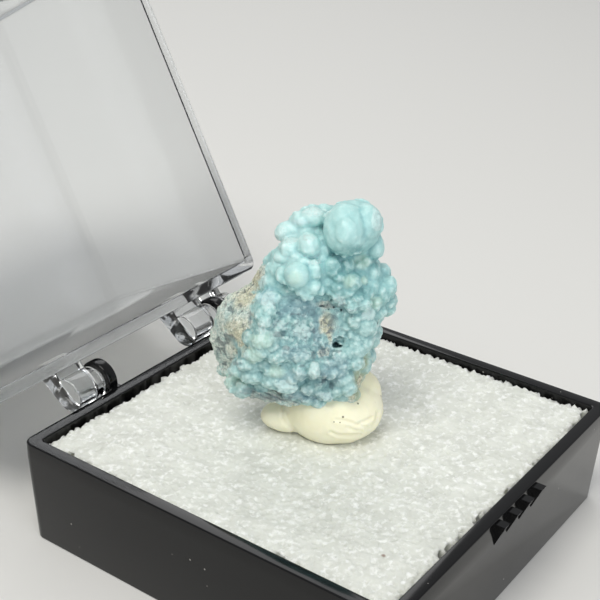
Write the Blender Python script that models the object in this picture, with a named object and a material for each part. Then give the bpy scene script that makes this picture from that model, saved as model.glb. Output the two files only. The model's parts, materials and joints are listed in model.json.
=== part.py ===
"""A gibbsite specimen on a lump of putty, in a hinged display box with a foam pad.

Millimetres are used for the dimensions below and turned to metres where they reach Blender.
The origin is the centre of the box's underside, +Z is up, +X runs along the hinge
and +Y points from the catch to the hinge.
"""

import math
import random

import bmesh
import bpy
from mathutils import Euler, Matrix, Vector

MM = 0.001
GAP = 0.3

# The box: a shallow opaque base and a deep clear lid, both injection moulded.
BOX_SIDE = 38.0
WALL = 1.2
CORNER_RADIUS = 1.0
CORNER_STEPS = 5
BASE_HEIGHT = 10.0
LID_DEPTH = 24.5

# The hinge: two thin open hooks on the base. Lugs of the lid stand beside them, and a pin from
# each lug runs through the hook. Spans are along X, from start to end.
HINGE_OUT = 2.3
HOOK_STATIONS = (-7.05, 9.95)
HOOK_WIDTH = 1.1
HOOK_OUTER = 1.9
HOOK_INNER = 1.2
HOOK_FROM_DEG = -15
HOOK_TO_DEG = 215
HOOK_STEPS = 14
WEB_TOP = BASE_HEIGHT - 0.1
WEB_BOTTOM = BASE_HEIGHT - 2.4
PIN_RADIUS = 0.85
PIN_SIDES = 20
LUG_SPANS = ((-11.2, -7.9), (5.1, 9.1), (10.8, 12.4))
PIN_SPANS = ((-9.5, -6.2), (8.0, 11.6))
LUG_RADIUS = 1.65

# The catch: a thumb ledge on the lid, and below it pointed ribs on the base that give a grip.
RIB_STATIONS = (-3.3, -1.1, 1.1, 3.3)
RIB_LENGTH = 2.7
RIB_WIDTH = 0.85
RIB_PROUD = 0.9
LEDGE_WIDTH = 8.4
LEDGE_PROUD = 1.0
LEDGE_LIP = 0.9
LEDGE_HEIGHT = 2.4

# The foam pad, cut by hand, so its edges and its top are uneven. It is lowest in the middle,
# where the putty is pressed on, and rises to the walls.
FOAM_BOTTOM = WALL + GAP
FOAM_TOP = 8.9
FOAM_RISE = 0.65
FOAM_FLAT = 8.0
FOAM_ROUGH = 0.25
FOAM_CELLS = 18
FOAM_SEED = 4

# The specimen's own frame: its origin on the foam, +Y away from the side that is shown.
SPECIMEN_AT = (1.0, 0.2, 9.0)
SPECIMEN_TURN_DEG = -55.0
VOXEL = 0.30
SPECIMEN_FACES = 6050

# The broken rock, as blocks bounded by flat fracture faces. Each point is a corner.
ROCK_BODY = (
    (-8.9, -2.3, 11.6), (-6.4, -2.3, 13.5), (-7.5, -2.2, 6.1), (-4.2, -2.2, 4.2),
    (0.2, -1.9, 3.4), (2.1, -1.6, 5.1), (2.3, -1.2, 9.2), (1.6, -1.4, 13.0),
    (-5.2, -3.1, 9.4), (-3.0, -3.2, 7.4), (-0.4, -3.0, 7.9), (-6.1, -2.9, 7.3),
    (-11.2, 0.2, 8.4), (-10.6, 0.6, 11.4), (-9.5, 1.2, 12.5), (-7.7, 1.6, 13.5),
    (-10.4, 0.2, 5.9), (-9.1, -0.5, 4.2), (-6.3, -0.6, 3.3), (-1.9, -0.6, 2.9),
    (2.5, 0.3, 3.1), (3.1, 0.4, 6.8), (2.8, 0.4, 9.3), (-8.3, 3.2, 8.2),
    (-4.2, 4.4, 5.2), (1.2, 4.2, 4.6), (3.2, 3.6, 8.6), (2.2, 4.4, 12.2),
    (-4.8, 4.6, 11.8), (-7.6, 3.8, 10.6), (-2.2, 1.2, 2.9), (1.2, 0.8, 2.9),
)
ROCK_NECK = (
    (-6.5, -1.2, 14.2), (-4.5, -1.9, 13.6), (0.6, -1.4, 13.1), (3.0, -0.3, 13.1),
    (2.4, 0.0, 17.2), (-0.9, -0.3, 19.1), (-4.1, 0.2, 19.0), (-5.0, 0.8, 17.7),
    (-6.4, 1.4, 16.0), (-7.7, 1.6, 13.6), (3.3, 0.6, 10.7), (-1.9, 1.2, 20.1),
    (0.8, 1.6, 20.2), (-4.6, 4.2, 12.2), (2.4, 4.2, 12.4), (2.6, 3.2, 16.2),
    (-3.8, 3.2, 15.6), (-1.2, 3.0, 18.2),
)
# The ledges of darker rock along the lower edge: centre and half sizes of each thin slab.
ROCK_LEDGES = (
    ((-7.4, -1.0, 4.6), (1.9, 1.3, 0.35)),
    ((-5.5, -1.3, 4.25), (1.9, 1.3, 0.30)),
    ((-4.1, -1.5, 4.3), (1.5, 1.2, 0.30)),
)
ROCK_LEDGE_TILT_DEG = (12.0, 16.0, 0.0)
# Two small deep holes in the crust: centre and half sizes.
PITS = (
    ((0.3, -2.3, 10.0), (0.60, 1.0, 0.42)),
    ((3.2, -0.4, 10.9), (0.40, 0.8, 0.45)),
)

# The globes of the crust, each (x, y, z, radius).
CROWN_GLOBES = (
    (1.1, 0.4, 19.6, 2.35), (0.4, -1.2, 19.5, 1.75), (2.7, 0.6, 17.7, 1.15),
    (2.8, 0.2, 20.3, 0.80), (0.0, 0.8, 20.4, 1.15), (1.4, 2.2, 19.0, 1.50),
)
CAP_GLOBES = (
    (-2.4, 0.6, 20.3, 1.00), (-3.4, 0.4, 20.0, 0.90), (-4.4, 0.5, 18.9, 0.85),
    (-2.6, -0.9, 18.4, 1.10), (-1.6, 1.0, 20.3, 0.75), (-1.3, -0.6, 17.8, 0.75),
    (-4.0, -0.6, 17.8, 1.15), (-4.9, 0.3, 16.5, 0.95), (-2.9, 2.2, 18.8, 1.10),
)
SHOULDER_GLOBES = (
    (-3.4, -2.2, 16.2, 1.35), (-2.0, -1.6, 16.3, 1.10), (-2.6, -2.4, 15.1, 0.95),
    (-1.6, -1.9, 15.2, 0.75), (-5.3, -0.8, 16.0, 0.85), (-5.8, -0.8, 14.9, 0.75),
)
MIDDLE_GLOBES = (
    (-0.7, -1.4, 16.5, 0.90), (0.6, -1.0, 16.7, 0.75), (2.1, -0.2, 16.6, 0.85),
    (1.6, -1.1, 15.7, 0.75), (1.1, -1.6, 15.1, 0.85), (0.1, -1.7, 15.7, 0.75),
    (2.9, 0.0, 15.6, 0.85), (2.7, -0.6, 14.6, 0.95), (-0.1, -1.9, 14.6, 0.75),
    (1.9, -1.5, 13.7, 0.85), (2.8, -0.8, 12.4, 0.75), (1.1, -1.8, 13.6, 0.70),
    (1.7, -1.6, 12.0, 0.75), (2.6, -0.9, 11.1, 0.70),
)
EAR_GLOBES = (
    (4.0, 0.4, 14.0, 1.10), (4.3, 0.5, 12.4, 0.85), (3.4, -0.3, 13.3, 0.95),
    (3.6, 1.4, 13.2, 1.10), (3.6, 1.2, 15.0, 0.85),
)
RIDGE_GLOBES = (
    (-6.2, -2.1, 13.6, 0.75), (-6.2, -2.7, 12.6, 0.95), (-6.3, -2.9, 11.2, 0.85),
    (-5.7, -3.1, 10.5, 0.95), (-6.6, -3.1, 9.8, 0.95), (-7.3, -2.7, 8.5, 0.95),
    (-7.0, -2.8, 7.6, 0.85), (-8.0, -2.2, 7.3, 0.80),
)
FRONT_GLOBES = (
    (-5.1, -3.3, 9.0, 0.95), (-4.3, -3.2, 9.7, 0.75), (-5.2, -3.2, 7.4, 0.85),
    (-4.1, -3.3, 6.9, 0.95), (-3.3, -3.5, 7.7, 0.85), (-1.8, -3.4, 7.9, 0.95),
    (-2.9, -3.3, 9.0, 0.70), (-0.6, -3.1, 8.1, 0.75), (0.4, -2.9, 7.5, 0.75),
    (1.1, -2.5, 8.3, 0.75), (0.3, -2.7, 8.9, 0.75), (1.7, -2.0, 9.1, 0.85),
    (2.0, -1.6, 10.1, 0.85), (0.9, -2.5, 6.1, 0.85), (1.5, -2.1, 4.6, 0.80),
    (-1.1, -2.4, 4.2, 0.70), (-0.2, -2.7, 5.3, 0.80), (-2.1, -2.5, 4.7, 0.70),
    (-1.8, -2.9, 5.9, 0.80), (-3.2, -2.6, 5.4, 0.80),
)
BACK_GLOBES = (
    (-1.0, 3.0, 17.4, 1.30), (1.8, 3.0, 17.0, 1.30), (-3.4, 3.2, 15.6, 1.10),
    (0.4, 4.0, 15.2, 1.20), (-1.6, 4.2, 14.0, 1.10), (2.8, 3.2, 14.6, 1.10),
    (1.6, 4.4, 13.0, 1.00), (3.2, 3.2, 12.2, 0.95), (-3.8, 4.2, 12.6, 0.95),
    (3.2, 2.4, 10.4, 0.90), (3.2, 1.2, 8.6, 0.80), (3.3, 3.0, 8.4, 0.85),
    (3.1, 1.6, 6.6, 0.75), (0.2, 4.6, 11.2, 0.90), (2.2, 4.2, 10.2, 0.85),
)
GLOBES = (
    CROWN_GLOBES + CAP_GLOBES + SHOULDER_GLOBES + MIDDLE_GLOBES + EAR_GLOBES
    + RIDGE_GLOBES + FRONT_GLOBES + BACK_GLOBES
)

# The putty in the specimen's frame: a squashed ball and the smaller nub beside it.
PUTTY_LOBES = (
    ((0.10, 0.10, 2.0), (4.55, 3.9, 3.1)),
    ((-3.9, -0.2, 1.15), (2.5, 1.9, 1.35)),
    ((2.4, 1.2, 2.7), (2.1, 2.1, 2.5)),
)
PUTTY_BOTTOM = 0.2
PUTTY_VOXEL = 0.35
PUTTY_FACES = 1500

# The underside stands on the surface, and the opened lid leans back until its edge touches it.
HINGE_AT = (0.0, BOX_SIDE / 2 + HINGE_OUT, BASE_HEIGHT)
LID_EDGE_REACH = math.hypot(LID_DEPTH + GAP, HINGE_OUT)
LID_OPEN = math.acos(-BASE_HEIGHT / LID_EDGE_REACH) + math.atan2(HINGE_OUT, LID_DEPTH + GAP)


def clear_scene():
    for thing in list(bpy.data.objects):
        bpy.data.objects.remove(thing, do_unlink=True)


def material(name, colour, roughness, metallic=0.0):
    """A Principled material; colour is linear RGB."""
    made = bpy.data.materials.new(name)
    made.use_nodes = True
    shader = made.node_tree.nodes["Principled BSDF"]
    shader.inputs["Base Color"].default_value = (*colour, 1.0)
    shader.inputs["Roughness"].default_value = roughness
    shader.inputs["Metallic"].default_value = metallic
    made.diffuse_color = (*colour, 1.0)
    return made


def object_from(name, mesh_data, finish=None, smooth_deg=None):
    """Puts a bmesh, drawn in millimetres, into the scene as an object in metres."""
    mesh_data.transform(Matrix.Scale(MM, 4))
    mesh = bpy.data.meshes.new(name)
    mesh_data.to_mesh(mesh)
    mesh_data.free()
    if smooth_deg is not None:
        mesh.shade_smooth()
        mesh.set_sharp_from_angle(angle=math.radians(smooth_deg))
    made = bpy.data.objects.new(name, mesh)
    if finish:
        mesh.materials.append(finish)
    bpy.context.scene.collection.objects.link(made)
    return made


def helper(made):
    """A guide or cutter that isn't a piece of the object."""
    made.hide_render = True
    made.display_type = "WIRE"
    return made


def combine(target, other, operation="UNION"):
    boolean = target.modifiers.new(other.name, "BOOLEAN")
    boolean.operation = operation
    boolean.object = helper(other)


def rounded_square(half, height):
    """The corners of a square outline with round corners, counter-clockwise from above."""
    points = []
    for quarter in range(4):
        middle = math.radians(45 + 90 * quarter)
        centre = Vector((math.copysign(half - CORNER_RADIUS, math.cos(middle)),
                         math.copysign(half - CORNER_RADIUS, math.sin(middle))))
        for step in range(CORNER_STEPS + 1):
            angle = math.radians(90 * quarter + 90 * step / CORNER_STEPS)
            point = centre + CORNER_RADIUS * Vector((math.cos(angle), math.sin(angle)))
            points.append((point.x, point.y, height))
    return points


def open_shell(name, sections, finish):
    """A moulded tray: outlines (half side, height) from its outer floor round to its inner floor."""
    shell = bmesh.new()
    rings = [[shell.verts.new(point) for point in rounded_square(half, height)]
             for half, height in sections]
    shell.faces.new(rings[0])
    for lower, upper in zip(rings, rings[1:]):
        count = len(lower)
        for i in range(count):
            shell.faces.new((lower[i], lower[(i + 1) % count], upper[(i + 1) % count], upper[i]))
    shell.faces.new(rings[-1])
    bmesh.ops.recalc_face_normals(shell, faces=shell.faces)
    return object_from(name, shell, finish, smooth_deg=35)


def prism(name, outline, start_x, end_x):
    """A closed (y, z) outline stretched along X."""
    solid = bmesh.new()
    ends = [[solid.verts.new((x, y, z)) for y, z in outline] for x in (start_x, end_x)]
    count = len(outline)
    for i in range(count):
        solid.faces.new((ends[0][i], ends[0][(i + 1) % count], ends[1][(i + 1) % count], ends[1][i]))
    solid.faces.new(ends[0])
    solid.faces.new(ends[1])
    bmesh.ops.recalc_face_normals(solid, faces=solid.faces)
    return object_from(name, solid)


def arc(radius, from_deg, to_deg, steps, centre=(0.0, 0.0)):
    points = []
    for step in range(steps + 1):
        angle = math.radians(from_deg + (to_deg - from_deg) * step / steps)
        points.append((centre[0] + radius * math.cos(angle), centre[1] + radius * math.sin(angle)))
    return points


def make_hook(station):
    """A C open to the outside and below, and the web that joins it to the wall under the rim."""
    axis = (HINGE_AT[1], HINGE_AT[2])
    outline = arc(HOOK_OUTER, HOOK_FROM_DEG, HOOK_TO_DEG, HOOK_STEPS, axis)
    outline += arc(HOOK_INNER, HOOK_TO_DEG, HOOK_FROM_DEG, HOOK_STEPS, axis)
    left = station - HOOK_WIDTH / 2
    hook = prism("hook", outline, left, left + HOOK_WIDTH)
    wall_face = BOX_SIDE / 2
    root = [(wall_face - WALL / 2, WEB_TOP), (wall_face - WALL / 2, WEB_BOTTOM),
            (wall_face + 0.2, WEB_BOTTOM), (wall_face + 1.0, BASE_HEIGHT - 1.2),
            (wall_face + 0.8, WEB_TOP)]
    web = prism("hook_web", root, left, left + HOOK_WIDTH)
    return hook, web


def make_rib(station):
    """A rib that starts full at the rim and runs to a point below."""
    rib = bmesh.new()
    face = -BOX_SIDE / 2
    top = BASE_HEIGHT - 0.3
    half = RIB_WIDTH / 2
    corners = [(station - half, face + 0.2, top), (station + half, face + 0.2, top),
               (station + half, face - RIB_PROUD, top), (station - half, face - RIB_PROUD, top),
               (station, face + 0.2, top - RIB_LENGTH)]
    for point in corners:
        rib.verts.new(point)
    bmesh.ops.convex_hull(rib, input=rib.verts)
    return object_from("catch_rib", rib)


def make_base():
    half = BOX_SIDE / 2
    finish = material("black polystyrene", (0.006, 0.006, 0.007), 0.12)
    sections = [(half - 0.35, 0.0), (half, BASE_HEIGHT - 1.5), (half, BASE_HEIGHT),
                (half - WALL, BASE_HEIGHT), (half - WALL, WALL)]
    base = open_shell("base", sections, finish)
    for station in HOOK_STATIONS:
        hook, web = make_hook(station)
        combine(base, hook)
        combine(base, web)
    for station in RIB_STATIONS:
        combine(base, make_rib(station))
    return base


def lug_outline():
    """A disc on the hinge axis with a foot that reaches the lid's wall, seen along the axis."""
    foot_top = GAP + 2.6
    return ([(-HINGE_OUT - WALL / 2, foot_top), (-HINGE_OUT - WALL / 2, GAP + 0.1)]
            + arc(LUG_RADIUS, 172, 432, 16) + [(-HINGE_OUT, foot_top)])


def make_lid():
    """The lid is drawn closed about its hinge axis, and the object's rotation opens it."""
    half = BOX_SIDE / 2
    top = GAP + LID_DEPTH
    finish = material("clear polystyrene", (0.85, 0.88, 0.9), 0.08)
    sections = [(half - WALL, top - WALL), (half - WALL, GAP), (half, GAP), (half, top)]
    lid = open_shell("lid", sections, finish)
    lid.data.transform(Matrix.Translation((0.0, -(half + HINGE_OUT) * MM, 0.0)))
    added = []
    for start, end in LUG_SPANS:
        added.append(prism("lug", lug_outline(), start, end))
    for start, end in PIN_SPANS:
        around = arc(PIN_RADIUS, 0, 360 - 360 / PIN_SIDES, PIN_SIDES - 1)
        added.append(prism("pin", around, start, end))
    front = -(2 * half + HINGE_OUT)
    ledge = [(front + WALL / 2, GAP + 0.1), (front + WALL / 2, GAP + LEDGE_HEIGHT),
             (front, GAP + LEDGE_HEIGHT), (front - LEDGE_PROUD, GAP + LEDGE_LIP),
             (front - LEDGE_PROUD, GAP + 0.1)]
    added.append(prism("thumb_ledge", ledge, -LEDGE_WIDTH / 2, LEDGE_WIDTH / 2))
    place = Vector(HINGE_AT) * MM
    for piece in added + [lid]:
        piece.location = place
        piece.rotation_euler = Euler((-LID_OPEN, 0.0, 0.0))
    for piece in added:
        combine(lid, piece)
    return lid


def make_foam():
    """A block of cellular foam with an uneven top, as a hot wire or knife leaves it."""
    dice = random.Random(FOAM_SEED)
    half = BOX_SIDE / 2 - WALL - GAP - FOAM_ROUGH
    pad = bmesh.new()
    bmesh.ops.create_grid(pad, x_segments=FOAM_CELLS, y_segments=FOAM_CELLS, size=half)
    for point in pad.verts:
        outward = (point.co.xy.length - FOAM_FLAT) / (half - FOAM_FLAT)
        rise = FOAM_RISE * min(1.0, max(0.0, outward)) ** 1.5
        point.co.z = FOAM_TOP + rise + dice.uniform(-FOAM_ROUGH, 0.4 * FOAM_ROUGH)
    skirt = bmesh.ops.extrude_edge_only(pad, edges=[e for e in pad.edges if e.is_boundary])
    lower = [item for item in skirt["geom"] if isinstance(item, bmesh.types.BMVert)]
    for point in lower:
        point.co.z = FOAM_BOTTOM
    bmesh.ops.contextual_create(pad, geom=[e for e in pad.edges if e.is_boundary])
    bmesh.ops.recalc_face_normals(pad, faces=pad.faces)
    return object_from("foam_pad", pad, material("white foam", (0.72, 0.72, 0.68), 0.6))


def add_hull(rock, points):
    made = [rock.verts.new(point) for point in points]
    bmesh.ops.convex_hull(rock, input=made)


def add_ledge(rock, centre, halves):
    tilt = Euler([math.radians(angle) for angle in ROCK_LEDGE_TILT_DEG]).to_matrix()
    corners = []
    for side in range(8):
        signs = [1 if side >> bit & 1 else -1 for bit in range(3)]
        corner = Vector([sign * size for sign, size in zip(signs, halves)])
        corners.append(Vector(centre) + tilt @ corner)
    add_hull(rock, corners)


def rock_and_globes():
    """The rock and every globe as overlapping closed shapes, still to be joined."""
    rock = bmesh.new()
    add_hull(rock, ROCK_BODY)
    add_hull(rock, ROCK_NECK)
    for centre, halves in ROCK_LEDGES:
        add_ledge(rock, centre, halves)
    for x, y, z, radius in GLOBES:
        bmesh.ops.create_icosphere(rock, subdivisions=3, radius=radius,
                                   matrix=Matrix.Translation((x, y, z)))
    return rock


def stand(piece):
    piece.location = Vector(SPECIMEN_AT) * MM
    piece.rotation_euler = Euler((0.0, 0.0, math.radians(SPECIMEN_TURN_DEG)))


def join_shapes(piece, voxel):
    remesh = piece.modifiers.new("grown together", "REMESH")
    remesh.mode = "VOXEL"
    remesh.voxel_size = voxel * MM
    remesh.use_smooth_shade = True


def thin_out(piece, faces_wanted):
    """Takes the joined mesh down to about the wanted number of triangles."""
    bpy.context.view_layer.update()
    graph = bpy.context.evaluated_depsgraph_get()
    faces_now = 2 * len(piece.evaluated_get(graph).data.polygons)
    fewer = piece.modifiers.new("fewer faces", "DECIMATE")
    fewer.ratio = min(1.0, faces_wanted / faces_now)


def make_gibbsite():
    """Rock and crust grew as one piece, so they are one solid."""
    finish = material("gibbsite", (0.36, 0.6, 0.62), 0.45)
    specimen = object_from("gibbsite", rock_and_globes(), finish)
    join_shapes(specimen, VOXEL)
    thin_out(specimen, SPECIMEN_FACES)
    stand(specimen)
    for centre, halves in PITS:
        pit = bmesh.new()
        shape = Matrix.Translation(centre) @ Matrix.Diagonal((*halves, 1.0))
        bmesh.ops.create_icosphere(pit, subdivisions=2, radius=1.0, matrix=shape)
        cutter = object_from("pit", pit)
        stand(cutter)
        combine(specimen, cutter, "DIFFERENCE")
    return specimen


def make_putty():
    """The putty was pressed to the foam and takes the print of the specimen's foot."""
    lump = bmesh.new()
    for centre, radii in PUTTY_LOBES:
        shape = Matrix.Translation(centre) @ Matrix.Diagonal((*radii, 1.0))
        bmesh.ops.create_icosphere(lump, subdivisions=4, radius=1.0, matrix=shape)
    putty = object_from("putty", lump, material("cream putty", (0.83, 0.79, 0.56), 0.5))
    join_shapes(putty, PUTTY_VOXEL)
    thin_out(putty, PUTTY_FACES)
    floor = bmesh.new()
    bmesh.ops.create_cube(floor, size=1.0, matrix=Matrix.Translation((0, 0, PUTTY_BOTTOM - 5.0))
                          @ Matrix.Diagonal((30.0, 30.0, 10.0, 1.0)))
    under = object_from("under_putty", floor)
    print_of_foot = object_from("print_of_foot", rock_and_globes())
    join_shapes(print_of_foot, 0.5)
    swell = print_of_foot.modifiers.new("clearance", "DISPLACE")
    swell.mid_level = 0.0
    swell.strength = 1.2 * GAP * MM
    for piece in (putty, under, print_of_foot):
        stand(piece)
    combine(putty, under, "DIFFERENCE")
    combine(putty, print_of_foot, "DIFFERENCE")
    return putty


def main():
    clear_scene()
    make_base()
    make_lid()
    make_foam()
    make_putty()
    make_gibbsite()


main()
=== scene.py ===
# %% [markdown]
# # A gibbsite specimen in its display box
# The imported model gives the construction: a black base, a clear lid on a hinge, a foam pad, a lump of
# putty and the specimen. This lesson dresses each of them. Nothing here moves a part of the model.
# Blender's noise gets a fixed seed, because it would otherwise differ a little from run to run.

# %% Load the model
import json
import math

import bmesh
import bpy
import numpy as np
from mathutils import Matrix, Vector, noise
from mathutils.bvhtree import BVHTree


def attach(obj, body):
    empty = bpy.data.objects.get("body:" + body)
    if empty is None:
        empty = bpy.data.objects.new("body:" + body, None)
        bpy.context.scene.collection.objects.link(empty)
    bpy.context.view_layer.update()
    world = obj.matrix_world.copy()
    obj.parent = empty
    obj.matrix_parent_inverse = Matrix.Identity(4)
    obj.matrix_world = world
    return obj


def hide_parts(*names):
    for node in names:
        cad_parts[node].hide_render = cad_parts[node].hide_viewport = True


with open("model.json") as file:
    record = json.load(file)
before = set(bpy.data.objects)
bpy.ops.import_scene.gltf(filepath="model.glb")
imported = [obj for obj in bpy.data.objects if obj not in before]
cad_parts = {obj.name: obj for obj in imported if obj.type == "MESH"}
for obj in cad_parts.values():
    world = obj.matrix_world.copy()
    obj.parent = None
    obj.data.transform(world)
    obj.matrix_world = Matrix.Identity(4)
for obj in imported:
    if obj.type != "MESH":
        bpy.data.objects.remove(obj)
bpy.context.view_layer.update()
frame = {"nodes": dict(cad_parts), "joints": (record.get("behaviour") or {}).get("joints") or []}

MM = 0.001
NOISE_SEED = 5
noise.seed_set(NOISE_SEED)
print("nodes:", ", ".join(sorted(frame["nodes"])))

# %% [markdown]
# ## Camera
# The rim of the box is a square, so its four edges in the photograph give the camera: how far it stood,
# how high and how it leaned. The same numbers are used here, so the box lands where it should.

# %% Camera
CAMERA_AT = Vector((-79.5, -52.35, 69.6)) * MM
CAMERA_TURN_DEG = -54.96
CAMERA_DOWN_DEG = 26.48
CAMERA_ROLL_DEG = 1.89
LENS_MM = 74.57
SENSOR_MM = 36.0

camera_data = bpy.data.cameras.new("camera")
camera_data.lens = LENS_MM
camera_data.sensor_width = SENSOR_MM
camera_data.clip_start = 5 * MM
camera = bpy.data.objects.new("camera", camera_data)
camera.matrix_world = (Matrix.Translation(CAMERA_AT)
                       @ Matrix.Rotation(math.radians(CAMERA_TURN_DEG), 4, "Z")
                       @ Matrix.Rotation(math.radians(90 - CAMERA_DOWN_DEG), 4, "X")
                       @ Matrix.Rotation(math.radians(CAMERA_ROLL_DEG), 4, "Z"))
bpy.context.scene.collection.objects.link(camera)
bpy.context.scene.camera = camera
print("camera", round(CAMERA_AT.length / MM), "mm from the box")

# %% [markdown]
# ## Small helpers
# A colour is written as the eye sees it, in sRGB, and Blender wants it linear, so one function turns it.
# Another adds a shader node with its settings and links, so a material reads as a short list of nodes.

# %% Helpers for colours and nodes


def linear(hex_colour):
    """An sRGB hex colour as linear RGBA."""
    parts = [int(hex_colour[i:i + 2], 16) / 255 for i in (1, 3, 5)]
    turned = [c / 12.92 if c <= 0.04045 else ((c + 0.055) / 1.055) ** 2.4 for c in parts]
    return (*turned, 1.0)


def feed(tree, node, key, given):
    """Sets an input to a value or a hex colour, or links it to the node or socket that feeds it."""
    if isinstance(given, bpy.types.Node):
        given = next(socket for socket in given.outputs if socket.enabled)
    if isinstance(given, bpy.types.NodeSocket):
        tree.links.new(given, node.inputs[key])
    else:
        node.inputs[key].default_value = linear(given) if isinstance(given, str) else given


def add(tree, kind, inputs=None, stops=(), **settings):
    """Adds a node. The stops of a ramp are (place, colour) pairs, and a colour may be one grey number."""
    made = tree.nodes.new("ShaderNode" + kind)
    for name, value in settings.items():
        setattr(made, name, value)
    for key, given in (inputs or {}).items():
        feed(tree, made, key, given)
    for _ in stops[2:]:
        made.color_ramp.elements.new(0.5)
    for i, (place, colour) in enumerate(stops):
        stop = made.color_ramp.elements[i]
        stop.position = place
        stop.color = linear(colour) if isinstance(colour, str) else (colour, colour, colour, 1.0)
    return made


def finish(name, **values):
    """A material, its nodes, and its Principled shader with these uniform values, such as Roughness=0.4."""
    made = bpy.data.materials.new(name)
    made.use_nodes = True
    shader = made.node_tree.nodes["Principled BSDF"]
    for key, value in values.items():
        feed(made.node_tree, shader, key.replace("_", " "), value)
    return made, made.node_tree, shader


def per(size_mm):
    """The scale of a texture, in metres, whose features are about this many millimetres."""
    return 1.0 / (size_mm * MM)


print("helpers ready")

# %% [markdown]
# Shapes are drawn in millimetres and turned to metres once, where they become a mesh. A closed mesh made
# of overlapping shells becomes one skin in two ways: a Boolean where edges have to stay crisp, and a voxel
# remesh where many lumps have grown into each other.

# %% Helpers for shapes


def put(name, mesh, material=None):
    """An object for this mesh, in the scene."""
    made = bpy.data.objects.new(name, mesh)
    if material:
        mesh.materials.append(material)
    bpy.context.scene.collection.objects.link(made)
    return made


def object_from(name, shape, material=None, place=Matrix.Identity(4)):
    """Turns a bmesh in millimetres into an object in metres."""
    shape.transform(place @ Matrix.Scale(MM, 4))
    mesh = bpy.data.meshes.new(name)
    shape.to_mesh(mesh)
    shape.free()
    return put(name, mesh, material)


def settle(piece):
    """Applies a piece's modifiers to its mesh."""
    bpy.context.view_layer.update()
    graph = bpy.context.evaluated_depsgraph_get()
    done = bpy.data.meshes.new_from_object(piece.evaluated_get(graph))
    piece.modifiers.clear()
    piece.data = done


def remesh(piece, voxel_mm, smoothing):
    """Makes overlapping closed shells one skin, and softens its creases."""
    skin = piece.modifiers.new("skin", "REMESH")
    skin.mode = "VOXEL"
    skin.voxel_size = voxel_mm * MM
    soft = piece.modifiers.new("soft creases", "SMOOTH")
    soft.factor = 0.5
    soft.iterations = smoothing
    settle(piece)


def unite(piece, others, sharp_deg=30):
    """Joins the others to the piece with Booleans, deletes them, and shades all but its edges smooth."""
    for other in others:
        boolean = piece.modifiers.new(other.name, "BOOLEAN")
        boolean.operation = "UNION"
        boolean.object = other
    settle(piece)
    for other in others:
        bpy.data.objects.remove(other, do_unlink=True)
    piece.data.shade_smooth()
    piece.data.set_sharp_from_angle(angle=math.radians(sharp_deg))


def belongs(piece, body, slot, *nodes):
    """Says which body carries the piece and which nodes it stands for; the slot is not used."""
    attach(piece, body)
    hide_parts(*nodes)
    faces = sum(len(p.vertices) - 2 for p in piece.data.polygons)
    print(piece.name, faces, "triangles")


print("shapes in millimetres, meshes in metres")

# %% [markdown]
# The box is built of two simple forms. A prism is an outline seen from the side, stretched along the hinge.
# A tray is a stack of square outlines with round corners, joined by faces from its outer floor, up over the
# rim and down to its inner floor.

# %% Helpers for the box


def arc(radius, from_deg, to_deg, steps, centre=(0.0, 0.0)):
    """Points along a part of a circle."""
    points = []
    for step in range(steps + 1):
        angle = math.radians(from_deg + (to_deg - from_deg) * step / steps)
        points.append((centre[0] + radius * math.cos(angle), centre[1] + radius * math.sin(angle)))
    return points


def join_rings(solid, rings):
    """Faces between rings of points with the same count, and a face that closes each end."""
    for lower, upper in zip(rings, rings[1:]):
        for i in range(len(lower)):
            j = (i + 1) % len(lower)
            solid.faces.new((lower[i], lower[j], upper[j], upper[i]))
    solid.faces.new(rings[0])
    solid.faces.new(rings[-1])
    bmesh.ops.recalc_face_normals(solid, faces=solid.faces)


def prism(name, outline, start_x, end_x, rounding=0.0, place=Matrix.Identity(4)):
    """A closed (y, z) outline stretched along X, its edges rounded."""
    solid = bmesh.new()
    join_rings(solid, [[solid.verts.new((x, y, z)) for y, z in outline] for x in (start_x, end_x)])
    made = object_from(name, solid, place=place)
    if rounding:
        bevel = made.modifiers.new("rounding", "BEVEL")
        bevel.width = rounding * MM
        bevel.segments = 3
        bevel.limit_method = "ANGLE"
        bevel.angle_limit = math.radians(40)
        settle(made)
    return made


def rounded_square(half, radius, height, steps=8):
    """A square outline with round corners, counter-clockwise from above."""
    points = []
    for quarter in range(4):
        middle = math.radians(45 + 90 * quarter)
        centre = (math.copysign(half - radius, math.cos(middle)),
                  math.copysign(half - radius, math.sin(middle)))
        for x, y in arc(radius, 90 * quarter, 90 * quarter + 90, steps, centre):
            points.append((x, y, height))
    return points


def tray(name, sections, material, place=Matrix.Identity(4)):
    """A moulded tray from (half side, corner radius, height) outlines, outer floor to inner floor."""
    solid = bmesh.new()
    join_rings(solid, [[solid.verts.new(p) for p in rounded_square(*section)] for section in sections])
    return object_from(name, solid, material, place)


def fillet(half, height, radius, corner, from_deg, to_deg, steps=4):
    """Sections that round an edge of the tray: a part of a circle in (half side, height)."""
    return [(h, corner, z) for h, z in arc(radius, from_deg, to_deg, steps, (half, height))]


print("prisms and trays")

# %% [markdown]
# ## The box's plastics
# Both halves are injection moulded polystyrene. The base is pigmented black: a mirror-bright skin, with
# faint flow marks and dust. The marks are a slow noise, and the dust is a dot in some cells of a cell noise.

# %% Black polystyrene
POLYSTYRENE_INDEX = 1.59
DUST_APART = 1.9
FLOW_MARK = 6.0

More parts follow.
